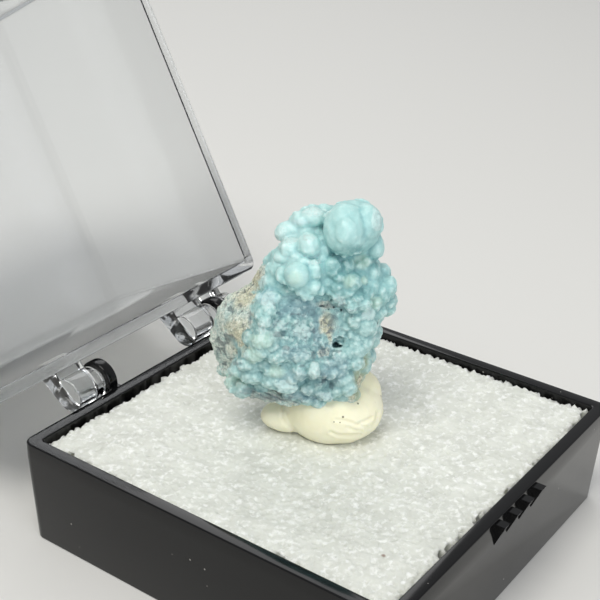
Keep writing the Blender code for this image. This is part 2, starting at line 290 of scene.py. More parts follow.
black_polystyrene, tree, shader = finish("black_polystyrene_moulded", Roughness=0.1, IOR=POLYSTYRENE_INDEX,
                                         Specular_IOR_Level=0.25)
place = add(tree, "TexCoord").outputs["Object"]
dust = add(tree, "TexVoronoi", {"Vector": place, "Scale": per(DUST_APART)})
dust = add(tree, "ValToRGB", {0: dust}, stops=((0.0, 1.0), (0.035, 1.0), (0.05, 0.0)))
flow = add(tree, "TexNoise", {"Vector": place, "Scale": per(FLOW_MARK), "Detail": 3.0})
feed(tree, shader, "Base Color", add(tree, "Mix", {0: dust, 6: "#070708", 7: "#8D8B86"}, data_type="RGBA"))
feed(tree, shader, "Roughness", add(tree, "ValToRGB", {0: flow}, stops=((0.3, 0.07), (0.7, 0.16))))
feed(tree, shader, "Normal", add(tree, "Bump", {"Height": flow, "Strength": 0.05, "Distance": 0.3 * MM}))
print(black_polystyrene.name)

# %% [markdown]
# The lid is the same plastic with no pigment, so light goes through it, bent by an index of 1.59, and its
# edges look denser because the eye looks along the sheet. Wiping has scuffed it a little, and a moulded
# sheet is never quite flat, so a faint wave bends what is seen in it.

# %% Clear polystyrene
SCUFF = 2.5
SHEET_WAVE = 9.0

clear_polystyrene, tree, shader = finish("clear_polystyrene_moulded", Base_Color="#F6F8F9", Roughness=0.03,
                                         IOR=POLYSTYRENE_INDEX, Transmission_Weight=1.0)
place = add(tree, "TexCoord").outputs["Object"]
scuffs = add(tree, "TexNoise", {"Vector": place, "Scale": per(SCUFF), "Detail": 6.0, "Roughness": 0.7})
waves = add(tree, "TexNoise", {"Vector": place, "Scale": per(SHEET_WAVE), "Detail": 1.0})
feed(tree, shader, "Roughness", add(tree, "ValToRGB", {0: scuffs}, stops=((0.45, 0.02), (0.75, 0.14))))
feed(tree, shader, "Normal", add(tree, "Bump", {"Height": waves, "Strength": 0.12, "Distance": 0.4 * MM}))
print(clear_polystyrene.name)

# %% [markdown]
# ## The base
# A tray 38 mm square with walls 1.2 mm thick. A mould has no razor edges, so each edge gets a small round,
# and that round is what draws the thin bright line along the rim. The wall slants in a little towards the
# floor, so that the tray leaves its mould, and stands upright in a band below the rim.

# %% The base's tray
BOX_SIDE = 38.0
HALF = BOX_SIDE / 2
WALL = 1.2
CORNER = 1.0
INNER_CORNER = 0.4
BASE_HEIGHT = 10.0
EDGE = 0.14
DRAFT = 0.35
UPRIGHT_BAND = 1.5

rim_in = HALF - WALL
foot_half = HALF - DRAFT - EDGE
sections = [(foot_half, CORNER, 0.0)]
sections += fillet(foot_half, EDGE, EDGE, CORNER, -60, 0, 3)
sections += [(HALF, CORNER, BASE_HEIGHT - UPRIGHT_BAND)]
sections += fillet(HALF - EDGE, BASE_HEIGHT - EDGE, EDGE, CORNER, 0, 90)
sections += fillet(rim_in + EDGE, BASE_HEIGHT - EDGE, EDGE, INNER_CORNER, 90, 180)
sections += [(rim_in, INNER_CORNER, WALL)]
base = tray("base_moulding", sections, black_polystyrene)
print("base of", len(sections), "outlines")

# %% [markdown]
# Two thin C-shaped hooks stand behind the rear wall, each on a small web, and open downwards. Four pointed
# ribs on the front wall are the catch. They are drawn apart and joined to the tray with Booleans, so that
# the moulding is one skin.

# %% The base's hooks and ribs
HINGE_OUT = 2.3
HOOK_STATIONS = (-7.05, 9.95)
HOOK_WIDTH = 1.1
HOOK_OUTER = 1.9
HOOK_INNER = 1.2
HOOK_FROM_DEG, HOOK_TO_DEG = -15, 215
WEB_OUTLINE = ((-WALL / 2, -0.1), (-WALL / 2, -2.4), (0.2, -2.4), (1.0, -1.2), (0.8, -0.1))
WEB_INSET = 0.02
ROUNDING = 0.16
RIB_STATIONS = (-3.3, -1.1, 1.1, 3.3)
RIB_TOP = BASE_HEIGHT - 0.3
RIB_LENGTH = 2.7
RIB_HALF = 0.425
RIB_PROUD = 0.9
RIB_ROOT = 0.2
hinge_axis = (HALF + HINGE_OUT, BASE_HEIGHT)

fittings = []
hook_outline = (arc(HOOK_OUTER, HOOK_FROM_DEG, HOOK_TO_DEG, 40, hinge_axis)
                + arc(HOOK_INNER, HOOK_TO_DEG, HOOK_FROM_DEG, 32, hinge_axis))
web_outline = [(HALF + y, BASE_HEIGHT + z) for y, z in WEB_OUTLINE]
for station in HOOK_STATIONS:
    left, right = station - HOOK_WIDTH / 2, station + HOOK_WIDTH / 2
    fittings.append(prism("hook", hook_outline, left, right, ROUNDING))
    fittings.append(prism("web", web_outline, left + WEB_INSET, right - WEB_INSET))
for station in RIB_STATIONS:
    rib = bmesh.new()
    for x in (-RIB_HALF, RIB_HALF):
        rib.verts.new((station + x, RIB_ROOT - HALF, RIB_TOP))
        rib.verts.new((station + x, -RIB_PROUD - HALF, RIB_TOP))
    rib.verts.new((station, RIB_ROOT - HALF, RIB_TOP - RIB_LENGTH))
    bmesh.ops.convex_hull(rib, input=rib.verts)
    fittings.append(object_from("rib", rib))
unite(base, fittings)
belongs(base, "box_body", "black_polystyrene", "base")

# %% [markdown]
# ## The lid
# The lid is drawn closed about its hinge axis, as it comes from the mould, and one matrix opens it to where
# its back edge rests on the table. The opening angle is worked out from the model's own joint, which stops
# a hair before the lid is quite shut.

# %% The lid
LID_DEPTH = 24.5
LID_GAP = 0.3
SHUT_MARGIN_DEG = 0.07
LUG_SPANS = ((-11.2, -7.9), (5.1, 9.1), (10.8, 12.4))
LUG_RADIUS = 1.65
LUG_FOOT, LUG_LIP = 2.6, 0.2
LUG_FROM_DEG, LUG_TO_DEG = 172, 432
PIN_SPANS = ((-9.5, -6.2), (8.0, 11.6))
PIN_RADIUS = 0.85
LEDGE_HALF = 4.2
LEDGE_ROUNDING = 0.12
LEDGE_OUTLINE = ((WALL / 2, 0.15), (WALL / 2, 2.4), (0.0, 2.4), (-1.0, 0.9), (-1.0, 0.15))
joint = frame["joints"][0]
open_angle = math.radians(joint["range_deg"][1] + SHUT_MARGIN_DEG)
hinge_place = Matrix.Translation(Vector(joint["pos_m"])) @ Matrix.Rotation(-open_angle, 4, "X")
closed_centre = Matrix.Translation(Vector((0.0, -(HALF + HINGE_OUT), 0.0)) * MM)

lid_top = LID_GAP + LID_DEPTH
sections = [(rim_in, INNER_CORNER, lid_top - WALL)]
sections += fillet(rim_in + EDGE, LID_GAP + EDGE, EDGE, INNER_CORNER, 180, 270)
sections += fillet(HALF - EDGE, LID_GAP + EDGE, EDGE, CORNER, -90, 0)
sections += fillet(HALF - EDGE, lid_top - EDGE, EDGE, CORNER, 0, 90)
lid = tray("lid_moulding", sections, clear_polystyrene, hinge_place @ closed_centre)

foot = LID_GAP + LUG_FOOT
lug_outline = ([(-HINGE_OUT - WALL / 2, foot), (-HINGE_OUT - WALL / 2, LID_GAP + LUG_LIP)]
               + arc(LUG_RADIUS, LUG_FROM_DEG, LUG_TO_DEG, 36) + [(-HINGE_OUT, foot)])
pin_outline = arc(PIN_RADIUS, 0, 350, 35)
front = -(BOX_SIDE + HINGE_OUT)
ledge_outline = [(front + y, LID_GAP + z) for y, z in LEDGE_OUTLINE]
fittings = [prism("lug", lug_outline, *span, ROUNDING, hinge_place) for span in LUG_SPANS]
fittings += [prism("pin", pin_outline, *span, place=hinge_place) for span in PIN_SPANS]
fittings.append(prism("ledge", ledge_outline, -LEDGE_HALF, LEDGE_HALF, LEDGE_ROUNDING, hinge_place))
unite(lid, fittings)
belongs(lid, "lid_body", "clear_polystyrene", "lid")

# %% [markdown]
# ## The foam pad
# The insert is a slice of cellular polystyrene. Cutting it opens its cells, bowls 0.3 to 0.6 mm wide with
# thin bright walls, and leaves crumbs between them. A bump map would look flat from low down, so the pad is
# a fine grid whose heights come from cell noise. Its edges were cut roughly, so they are ragged, and the pad
# is lowest in the middle, where the putty was pressed on.

# %% The foam pad's shape
FOAM_LOW = 1.5
FOAM_TOP = 8.9
FOAM_HALF = 17.6
FOAM_RISE, FLAT_REACH = 0.65, 8.0
FOAM_POINTS = 218
CELL, CELL_DEPTH = 0.60, 0.16
CRUMB, CRUMB_LIFT = 0.36, 0.10
WIRE_WAVE, WAVE_LIFT = 3.0, 0.10
EDGE_BAND = 0.9
BITE, SMALL_BITE = 1.3, 0.45
BITE_DEPTH, HINGE_SIDE_BITE = 0.9, 0.35
TUFT, TUFT_LIFT = 0.38, 0.45


def foam_height(x, y):
    """The cut surface: open cells, crumbs between them and a slow wave from the cutting wire."""
    bent = Vector((x, y, 3.1)) + 0.18 * noise.noise_vector(Vector((x, y, 0.0)) / 0.7)
    cell = noise.voronoi(bent / CELL)[0]
    crumb = noise.voronoi(bent / CRUMB)[0]
    wall = min(1.0, (cell[1] - cell[0]) * 1.8)
    slow = noise.fractal(Vector((x / WIRE_WAVE, y / WIRE_WAVE, 0.7)), 1.0, 2.0, 3)
    outward = (math.hypot(x, y) - FLAT_REACH) / (FOAM_HALF - FLAT_REACH)
    rise = FOAM_RISE * min(1.0, max(0.0, outward)) ** 1.5
    return FOAM_TOP + rise - CELL_DEPTH * wall ** 1.5 + CRUMB_LIFT * (0.5 - crumb[0]) + WAVE_LIFT * slow


foam_shape = bmesh.new()
bmesh.ops.create_grid(foam_shape, x_segments=FOAM_POINTS, y_segments=FOAM_POINTS, size=FOAM_HALF)
for point in foam_shape.verts:
    x, y = point.co.x, point.co.y
    edge = max(0.0, 1.0 - (FOAM_HALF - max(abs(x), abs(y))) / EDGE_BAND)
    torn = noise.noise(Vector((x / BITE, y / BITE, 2.0)))
    torn += 0.6 * noise.noise(Vector((x / SMALL_BITE, y / SMALL_BITE, 8.0)))
    hinge_side = HINGE_SIDE_BITE if y > 0.97 * FOAM_HALF - EDGE_BAND else 0.0
    pull = edge ** 2 * max(0.0, torn * BITE_DEPTH + hinge_side)
    if abs(x) > abs(y):
        point.co.x -= math.copysign(pull, x)
    else:
        point.co.y -= math.copysign(pull, y)
    tuft = TUFT_LIFT * edge * noise.noise(Vector((x / TUFT, y / TUFT, 5.0)))
    point.co.z = foam_height(x, y) + tuft - edge ** 3 * (0.15 + 0.7 * max(0.0, torn))
skirt = bmesh.ops.extrude_edge_only(foam_shape, edges=[e for e in foam_shape.edges if e.is_boundary])
for item in skirt["geom"]:
    if isinstance(item, bmesh.types.BMVert):
        item.co.z = FOAM_LOW
bmesh.ops.contextual_create(foam_shape, geom=[e for e in foam_shape.edges if e.is_boundary])
bmesh.ops.recalc_face_normals(foam_shape, faces=foam_shape.faces)
print("foam top at", FOAM_TOP, "mm, cells of", CELL, "mm")

# %% [markdown]
# Polystyrene is clear, and only its many thin cell walls make foam white. Light scatters about a millimetre
# into it, which softens every shadow, and each wall that faces the light flashes. So the finish is nearly
# white with strong subsurface scattering, a low roughness on the flecks, and a soft mottle. The flecks are
# also painted near-white into the colour: partly the cell walls' own white, partly painted glints where the
# walls flash. A speck of brown dirt lies near the front corner.

# %% The foam's finish
FLECK = 0.60
FLECK_CELL = 0.95
MOTTLE = 2.2
FOAM_GRAIN = 0.16
SPECK_AT = Vector((-12.39, -13.92, 9.5))
SPECK_SIZE = 0.17

cut_foam, tree, shader = finish("cut_polystyrene_foam", IOR=1.5, Subsurface_Weight=0.55,
                                Subsurface_Scale=0.8 * MM, Subsurface_Radius=(1.0, 1.0, 0.92))
place = add(tree, "TexCoord").outputs["Object"]
warp = add(tree, "TexNoise", {"Vector": place, "Scale": per(0.8), "Detail": 2.0}).outputs["Color"]
warp = add(tree, "VectorMath", {0: warp, 1: [0.5 * MM] * 3}, operation="MULTIPLY")
bent = add(tree, "VectorMath", {0: place, 1: warp}, operation="ADD")
flecks = add(tree, "TexNoise", {"Vector": bent, "Scale": per(FLECK), "Detail": 3.0, "Roughness": 0.6})
# Painted glints: the flecks, over the rings of the cell walls, are painted near-white as the walls' flashes.
painted_glints = add(tree, "ValToRGB", {0: flecks}, stops=((0.45, 0.0), (0.64, 1.0)))
crumbs = add(tree, "ValToRGB", {0: flecks}, stops=((0.56, 0.0), (0.72, 0.9)))
rings = add(tree, "TexVoronoi", {"Vector": bent, "Scale": per(FLECK_CELL)})
rings = add(tree, "ValToRGB", {0: rings}, stops=((0.18, 0.0), (0.36, 0.75), (0.44, 0.75), (0.56, 0.0)))
walls_and_painted_glints = add(tree, "Math", {0: rings, 1: painted_glints}, operation="MULTIPLY")
walls_and_painted_glints = add(tree, "Math", {0: walls_and_painted_glints, 1: crumbs}, operation="MAXIMUM")
mottle = add(tree, "TexNoise", {"Vector": place, "Scale": per(MOTTLE), "Detail": 4.0})
body = add(tree, "ValToRGB", {0: mottle}, stops=((0.32, "#CFD1C9"), (0.68, "#DEE0D8")))
body = add(tree, "Mix", {0: walls_and_painted_glints, 6: body, 7: "#FAFBF8"}, data_type="RGBA")
away = add(tree, "VectorMath", {0: place, 1: SPECK_AT * MM}, operation="DISTANCE")
speck = add(tree, "MapRange", {0: away, 1: 1.4 * SPECK_SIZE * MM, 2: 0.5 * SPECK_SIZE * MM})
grain = add(tree, "TexNoise", {"Vector": bent, "Scale": per(FOAM_GRAIN), "Detail": 3.0})
feed(tree, shader, "Base Color", add(tree, "Mix", {0: speck, 6: body, 7: "#9A8A80"}, data_type="RGBA"))
feed(tree, shader, "Roughness", add(tree, "ValToRGB", {0: flecks}, stops=((0.50, 0.62), (0.70, 0.22))))
feed(tree, shader, "Normal", add(tree, "Bump", {"Height": grain, "Strength": 0.3, "Distance": 0.06 * MM}))

foam = object_from("foam_insert", foam_shape, cut_foam)
foam.data.shade_smooth()
belongs(foam, "box_body", "foam", "foam_pad")

# %% [markdown]
# ## The specimen
# Gibbsite grows as globes that spread until they meet, so the crust is a union of domes with sharp creases
# between them. It could be sculpted, or displaced from one ball, but neither keeps round domes round.
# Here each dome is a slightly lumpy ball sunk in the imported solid, and a voxel remesh grows them together.
# The frame for it is the specimen's own: x to the right and y away as the camera sees it, z up.

# %% Where the specimen stands, and how the camera sees it
SPECIMEN_AT = (1.0, 0.2, 9.0)
SPECIMEN_TURN_DEG = -55.0
specimen_place = (Matrix.Translation(Vector(SPECIMEN_AT) * MM)
                  @ Matrix.Rotation(math.radians(SPECIMEN_TURN_DEG), 4, "Z"))
to_specimen = Matrix.Scale(1 / MM, 4) @ specimen_place.inverted()

solid = frame["nodes"]["gibbsite"].data
solid.calc_loop_triangles()
corners = np.array([to_specimen @ v.co for v in solid.vertices])
corners, weld = np.unique(np.round(corners, 3), axis=0, return_inverse=True)
triangles = weld.reshape(-1)[np.array([t.vertices[:] for t in solid.loop_triangles])]
solid_tree = BVHTree.FromPolygons(corners.tolist(), triangles.tolist())

eye = to_specimen @ CAMERA_AT
turn = to_specimen.to_3x3().normalized() @ camera.matrix_world.to_3x3()
see_right, see_up, see_back = (Vector(turn.col[i]).normalized() for i in range(3))
seen_axes = np.array([see_right, see_up, see_back])
to_camera = np.array(see_back)
SENSOR_SPAN = SENSOR_MM / LENS_MM
PICTURE_SIDE = 600
BEHIND_EDGE = Vector((-1.0, 0.0, 12.0))


def spot(px, py):
    """Where a pixel of the picture falls on the solid, the way it is seen, and the mm that a pixel covers."""
    across = (px / PICTURE_SIDE - 0.5) * SENSOR_SPAN
    down = (py / PICTURE_SIDE - 0.5) * SENSOR_SPAN
    way = (see_right * across - see_up * down - see_back).normalized()
    place = solid_tree.ray_cast(eye, way)[0]
    if place is None:
        # A pixel just beside the solid takes the depth of the nearest point of its edge.
        far = eye + way * (BEHIND_EDGE - eye).length
        near = solid_tree.find_nearest(far)[0]
        place = eye + way * (near - eye).dot(way)
    depth = (eye - place).dot(see_back)
    return place, way, depth * SENSOR_SPAN / PICTURE_SIDE


print("a pixel covers", round(spot(300, 300)[2], 4), "mm on the specimen")

# %% [markdown]
# These domes are read off the photograph: the middle of each in pixels, half its width and half its height.
# The ones in the upper half are large and smooth, and have a fifth number, how many millimetres they stand
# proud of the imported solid. The rest are low caps, fused side by side. Down the left runs a ridge of creamy
# ones, and the lower front is a crowd of small ones. Each is set on the solid where its pixel falls.

# %% Domes that the photograph shows
CROWN_DOMES = (
    (345, 229, 22, 26, 0.20), (346, 231, 15, 17, 0.40), (364, 223, 19, 21, 0.10), (375, 246, 9, 14, 0.30),
    (379, 227, 5, 7, 0.20), (368, 212, 9, 7, 0.10), (333, 218, 9, 8, 0.10), (352, 212, 10, 7, 0.08),
)
CAP_DOMES = (
    (313, 217, 14, 10, 0.25), (303, 221, 8, 7, 0.20), (291, 230, 15, 10, 0.25), (282, 233, 8, 8, 0.15),
    (309, 245, 12, 12, 0.45), (325, 248, 6, 10, 0.25), (289, 249, 10, 9, 0.25), (285, 257, 12, 8, 0.25),
    (279, 266, 9, 9, 0.20), (317, 233, 9, 9, 0.15), (322, 258, 6, 6, 0.15), (298, 258, 8, 6, 0.20),
)
GLOBE_DOMES = (
    (297, 275, 13, 13, 0.45), (314, 271, 9, 12, 0.30), (313, 286, 8, 9, 0.30), (288, 290, 8, 7, 0.25),
    (321, 290, 5, 6, 0.20), (283, 275, 8, 9, 0.20), (303, 262, 8, 5, 0.25), (301, 292, 6, 4, 0.15),
)
MIDDLE_DOMES = (
    (332, 267, 9, 11, 0.30), (339, 278, 6, 6, 0.20), (348, 265, 7, 8, 0.25), (358, 266, 5, 5, 0.25),
    (367, 261, 6, 6, 0.20), (354, 281, 9, 9, 0.30), (337, 286, 7, 6, 0.20), (372, 272, 8, 11, 0.20),
    (364, 281, 4, 4, 0.20), (357, 298, 8, 7, 0.30), (340, 300, 6, 5), (347, 292, 6, 4), (366, 291, 6, 6),
    (328, 281, 6, 5),
)
EAR_DOMES = (
    (385, 288, 12, 13, 0.15), (381, 291, 9, 10, 0.25), (390, 284, 7, 8, 0.20), (389, 302, 7, 8, 0.20),
    (377, 303, 6, 7, 0.20), (378, 311, 6, 6), (383, 296, 5, 5),
)
RIDGE_DOMES = (
    (272, 300, 8, 6), (268, 309, 8, 10, 0.35), (265, 321, 7, 8, 0.30), (264, 329, 6, 6),
    (263, 341, 13, 10, 0.45), (252, 338, 6, 6), (254, 355, 10, 8, 0.40), (245, 364, 9, 7, 0.35),
    (253, 375, 9, 6), (238, 371, 7, 5), (231, 372, 5, 4), (223, 370, 4, 4), (233, 382, 6, 5),
    (262, 350, 7, 6), (272, 335, 6, 6),
)
FRONT_DOMES = (
    (276, 357, 9, 7, 0.30), (284, 352, 6, 6), (267, 363, 8, 6), (287, 365, 8, 7, 0.30), (277, 371, 10, 6),
    (299, 371, 8, 10, 0.35), (277, 381, 11, 6), (287, 387, 11, 7, 0.35), (300, 383, 9, 8, 0.30),
    (314, 370, 7, 9, 0.40), (308, 388, 6, 5), (326, 396, 9, 6, 0.25), (317, 402, 6, 4), (300, 356, 9, 6),
    (294, 346, 6, 5), (283, 341, 6, 5), (303, 330, 8, 10, 0.25), (279, 325, 7, 6), (305, 317, 4, 4),
    (312, 324, 4, 5), (291, 333, 5, 5), (313, 345, 5, 5), (309, 357, 4, 5), (266, 377, 6, 5),
    (292, 377, 5, 5), (262, 386, 6, 4), (318, 383, 5, 5), (293, 395, 7, 4), (306, 399, 6, 4),
    (273, 346, 5, 5), (292, 357, 5, 5), (285, 374, 5, 4), (308, 364, 4, 4), (319, 391, 4, 4),
    (296, 322, 5, 5), (287, 318, 4, 4), (322, 340, 4, 6), (303, 345, 5, 4),
)
LOW_RIGHT_DOMES = (
    (364, 314, 8, 7), (355, 320, 6, 6), (364, 328, 7, 7), (343, 338, 8, 4, 0.30), (354, 337, 7, 6),
    (356, 348, 7, 9), (339, 356, 6, 6), (347, 353, 6, 5), (354, 362, 7, 6), (363, 361, 6, 9),
    (326, 363, 8, 4), (331, 372, 5, 5), (341, 366, 5, 4), (343, 379, 8, 7), (347, 387, 7, 6),
    (336, 389, 5, 5), (324, 373, 3, 4), (364, 342, 6, 7), (346, 327, 5, 4), (346, 315, 5, 4),
    (363, 304, 6, 5), (352, 307, 5, 4), (369, 320, 4, 6), (351, 372, 6, 6), (341, 396, 7, 4),
)
SEEN_DOMES = (CROWN_DOMES + CAP_DOMES + GLOBE_DOMES + MIDDLE_DOMES + EAR_DOMES + RIDGE_DOMES
              + FRONT_DOMES + LOW_RIGHT_DOMES)
print(len(SEEN_DOMES), "domes seen")

# %% [markdown]
# The sides and back, which the photograph hides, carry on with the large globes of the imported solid, each
# written as its middle and radius in the specimen's frame. Between them comes a scatter of small ones. It is
# dealt with fixed seeds, so it is the same each time, and it keeps clear of the foot and of the large hole.

# %% Globes on the sides and back
BACK_GLOBES = (
    (-1.0, 3.0, 17.4, 1.30), (1.8, 3.0, 17.0, 1.30), (-3.4, 3.2, 15.6, 1.10),
    (0.4, 4.0, 15.2, 1.20), (-1.6, 4.2, 14.0, 1.10), (2.8, 3.2, 14.6, 1.10),
    (1.6, 4.4, 13.0, 1.00), (3.2, 3.2, 12.2, 0.95), (-3.8, 4.2, 12.6, 0.95),
    (3.2, 2.4, 10.4, 0.90), (3.2, 1.2, 8.6, 0.80), (3.3, 3.0, 8.4, 0.85),
    (3.1, 1.6, 6.6, 0.75), (0.2, 4.6, 11.2, 0.90), (2.2, 4.2, 10.2, 0.85),
    (1.4, 2.2, 19.0, 1.50), (0.0, 0.8, 20.25, 1.15), (1.1, 0.4, 19.5, 2.25), (-2.9, 2.2, 18.8, 1.10),
    (3.6, 1.4, 13.2, 1.10), (3.6, 1.2, 15.0, 0.85), (-1.6, 1.0, 20.3, 0.75),
)
LOWEST_GLOBE = 4.2
HOLE_PIXEL = (336, 345)
HOLE_ROOM = 2.4

edge_a = corners[triangles[:, 1]] - corners[triangles[:, 0]]
edge_b = corners[triangles[:, 2]] - corners[triangles[:, 0]]
facing = np.cross(edge_a, edge_b)
areas = np.linalg.norm(facing, axis=1) / 2
facing /= np.maximum(np.linalg.norm(facing, axis=1), 1e-9)[:, None]


def thin(points, spacing):
    """The indices of points that keep this distance from each other."""
    kept, taken = [], {}
    for i, point in enumerate(points):
        cell = tuple(int(c) for c in np.floor(point / spacing))
        beside = ((cell[0] + a, cell[1] + b, cell[2] + c)
                  for a in (-1, 0, 1) for b in (-1, 0, 1) for c in (-1, 0, 1))
        near = [taken[n] for n in beside if n in taken]
        if all(np.sum((points[j] - point) ** 2) > spacing ** 2 for j in near):
            kept.append(i)
            taken[cell] = i
    return np.array(kept)


def scatter(seed, tries, spacing, smallest, largest, sink, turned):
    """Small globes on the solid, away from the side that the camera sees: (centres, radii)."""
    dice = np.random.default_rng(seed)
    chosen = dice.choice(len(triangles), size=tries, p=areas / areas.sum())
    u, v = dice.random(tries), dice.random(tries)
    over = u + v > 1
    u[over], v[over] = 1 - u[over], 1 - v[over]
    points = corners[triangles[chosen, 0]] + u[:, None] * edge_a[chosen] + v[:, None] * edge_b[chosen]
    hidden = facing[chosen] @ to_camera < turned
    points, ways = points[hidden], facing[chosen][hidden]
    kept = thin(points, spacing)
    kept = kept[points[kept][:, 2] > LOWEST_GLOBE]
    kept = kept[np.linalg.norm(points[kept] - np.array(spot(*HOLE_PIXEL)[0]), axis=1) > HOLE_ROOM]
    radii = smallest + (largest - smallest) * dice.random(len(kept)) ** 1.5
    return points[kept] - ways[kept] * (sink * radii)[:, None], radii


print("surface of the solid:", round(areas.sum()), "mm2")

# %% [markdown]
# Not all of the surface is crust. The left side is broken rock with ochre stains, the foot is dark and
# layered, and a strip of rock stands bare in the middle. The crust itself turns bluer low on the front and
# creamier along the ridge. The dark patches are partly dark rock at the foot and partly painted shade in the
# crevices, and the shaded patches are painted shade in the middle under the crown and on the right side. Each
# such patch is an ellipse in the picture: middle and half sizes in pixels. A hole has a fifth number, its
# depth in millimetres. Rock that the photograph hides is given as ellipsoids in the specimen's frame.

# %% Patches that the photograph shows
ROCK_PATCHES = (
    (233, 322, 20, 34), (226, 350, 13, 18), (248, 285, 13, 13), (260, 272, 7, 9), (241, 300, 16, 14),
    (264, 398, 34, 9), (240, 387, 14, 6), (293, 406, 16, 5), (327, 326, 8, 17), (323, 352, 6, 7),
    (357, 384, 7, 17), (350, 399, 12, 5), (276, 335, 6, 8), (333, 305, 14, 4),
)
BLUE_PATCHES = (
    (299, 308, 22, 11), (318, 330, 7, 20), (330, 374, 14, 18), (297, 352, 16, 9), (325, 350, 9, 9),
    (295, 378, 20, 9), (305, 395, 24, 8), (340, 368, 9, 16), (268, 296, 10, 8), (300, 222, 9, 3),
)
WHITE_PATCHES = (
    (377, 221, 5, 12), (316, 212, 12, 5), (303, 331, 8, 9), (279, 325, 7, 5), (340, 300, 5, 4),
    (287, 386, 10, 6), (269, 300, 6, 9), (262, 281, 4, 7), (368, 315, 7, 6), (315, 372, 5, 6),
    (326, 396, 6, 4), (316, 262, 7, 3), (290, 240, 7, 3), (309, 238, 6, 3), (281, 238, 6, 11),
    (262, 330, 4, 10),
)
CREAM_PATCHES = (
    (296, 278, 7, 7), (262, 341, 11, 9), (254, 356, 8, 8), (364, 281, 4, 4), (376, 302, 6, 6),
    (361, 262, 9, 7), (277, 372, 8, 6), (350, 282, 7, 6), (366, 350, 5, 20), (236, 376, 15, 11),
)
OCHRE_PATCHES = (
    (327, 325, 8, 15), (238, 338, 13, 18), (246, 296, 13, 13), (262, 294, 5, 2), (256, 277, 5, 10),
    (358, 382, 7, 13), (352, 397, 6, 4), (330, 315, 5, 5),
)
# Dark patches: dark rock at the foot, and painted shade in the crevices.
DARK_ROCK_AND_CREVICE_SHADE_PATCHES = (
    (270, 398, 30, 5), (247, 391, 12, 5), (334, 306, 16, 3), (279, 334, 8, 4), (238, 363, 7, 3),
    (322, 352, 4, 7), (324, 376, 3, 10), (250, 318, 2, 9), (218, 352, 3, 7), (337, 330, 3, 8),
    (313, 355, 3, 7), (286, 348, 5, 3), (302, 366, 4, 2), (338, 351, 6, 2), (331, 385, 3, 5),
    (295, 314, 8, 2), (314, 335, 2, 8), (226, 377, 8, 4), (376, 318, 3, 8),
)
# Painted shade: where the crust lies in shade under the crown and on the right, its colour is darkened.
SHADED_PATCHES = (
    (346, 274, 26, 20), (336, 256, 10, 8), (372, 262, 9, 8), (362, 292, 12, 8), (355, 250, 14, 5),
)
# The same painted shade at a third of the strength.
HALF_SHADED_PATCHES = (
    (384, 292, 15, 20), (373, 240, 9, 22), (318, 380, 14, 13), (341, 290, 10, 10),
)
PALE_PATCHES = (
    (300, 230, 25, 22), (309, 246, 13, 13), (287, 258, 14, 12), (322, 216, 10, 8),
)
LAYERED_PATCHES = ((262, 396, 34, 10), (240, 387, 18, 9))
OLIVE_PATCHES = ((358, 384, 8, 18), (362, 362, 5, 10))
GRAINY_PATCHES = (
    (305, 328, 30, 30), (330, 322, 13, 28), (322, 352, 16, 10), (350, 310, 16, 9), (300, 398, 30, 6),
    (278, 318, 9, 14), (322, 378, 8, 14),
)
HOLES = (
    (336, 345, 2.8, 2.0, 0.60), (340, 346, 2.4, 1.2, 0.50), (329, 309, 0.8, 1.5, 0.20),
    (334, 307, 1.1, 0.7, 0.22), (322, 306, 1.6, 0.7, 0.20), (341, 310, 0.8, 1.1, 0.20),
    (376, 322, 1.2, 2.6, 0.45), (336, 331, 0.7, 1.4, 0.20), (331, 300, 0.7, 1.2, 0.20),
)
HIDDEN_ROCK = (
    ((-9.9, 0.9, 9.6), (2.4, 3.2, 5.0)), ((-7.6, 2.0, 13.4), (2.4, 2.2, 2.6)),
    ((-7.0, 4.8, 8.6), (5.6, 2.8, 5.4)), ((-1.0, 4.6, 5.6), (5.6, 2.4, 3.0)),
    ((-4.0, 0.8, 2.6), (7.0, 4.0, 0.9)), ((3.0, 2.0, 4.8), (1.6, 2.2, 1.8)),
)
print(len(ROCK_PATCHES) + len(HIDDEN_ROCK), "patches of rock")

# %% [markdown]
# A patch has no sharp border on a real stone. So a point's share in a patch falls from 1 inside to 0 outside
# over a soft band, and a slow noise makes the border wander.

# %% A point's share in the patches
PATCH_DEPTH = 1.9
FAR_OFF = 9.0


def nearness(points, patches):
    """How far each point is from the nearest patch's middle: 1 is on its edge."""
    nearest = np.full(len(points), FAR_OFF)
    for px, py, half_wide, half_high in patches:
        place, _, pixel = spot(px, py)
        sizes = np.array((half_wide * pixel, half_high * pixel, PATCH_DEPTH))
        away = np.linalg.norm(((points - np.array(place)) @ seen_axes.T) / sizes, axis=1)
        nearest = np.minimum(nearest, away)
    return nearest


def share(points, patches, wander, soft=0.35):
    """1 inside the patches to 0 outside, with an edge that wanders."""
    return np.clip((1.0 + soft / 2 - nearness(points, patches) - 0.5 * wander) / soft, 0.0, 1.0)


def hidden_share(points, wander):
    """The same for the rock that the photograph hides."""
    nearest = np.full(len(points), FAR_OFF)
    for middle, halves in HIDDEN_ROCK:
        nearest = np.minimum(nearest, np.linalg.norm((points - np.array(middle)) / np.array(halves), axis=1))
    return np.clip((1.12 - nearest - 0.5 * wander) / 0.3, 0.0, 1.0)


def below(points, height, fade, least=0.0):
    """1 for points well below this height, which falls to the least value above it."""
    return np.clip((height - points[:, 2]) / fade, least, 1.0)


print("patches reach", PATCH_DEPTH, "mm deep")

# %% [markdown]
# Every dome becomes a ball with a middle, three radii and the axes that they lie along. A dome that stands
# proud is sunk until only that much of it shows. A fused one is a low cap, so its ball is larger than the
# cap is wide. The scatter is dealt in three sizes. A deal is a seed, a number of tries, the least spacing,
# the smallest and the largest radius, how deep a globe sinks, as a share of its radius, and how far a face
# may turn to the camera and still get one.

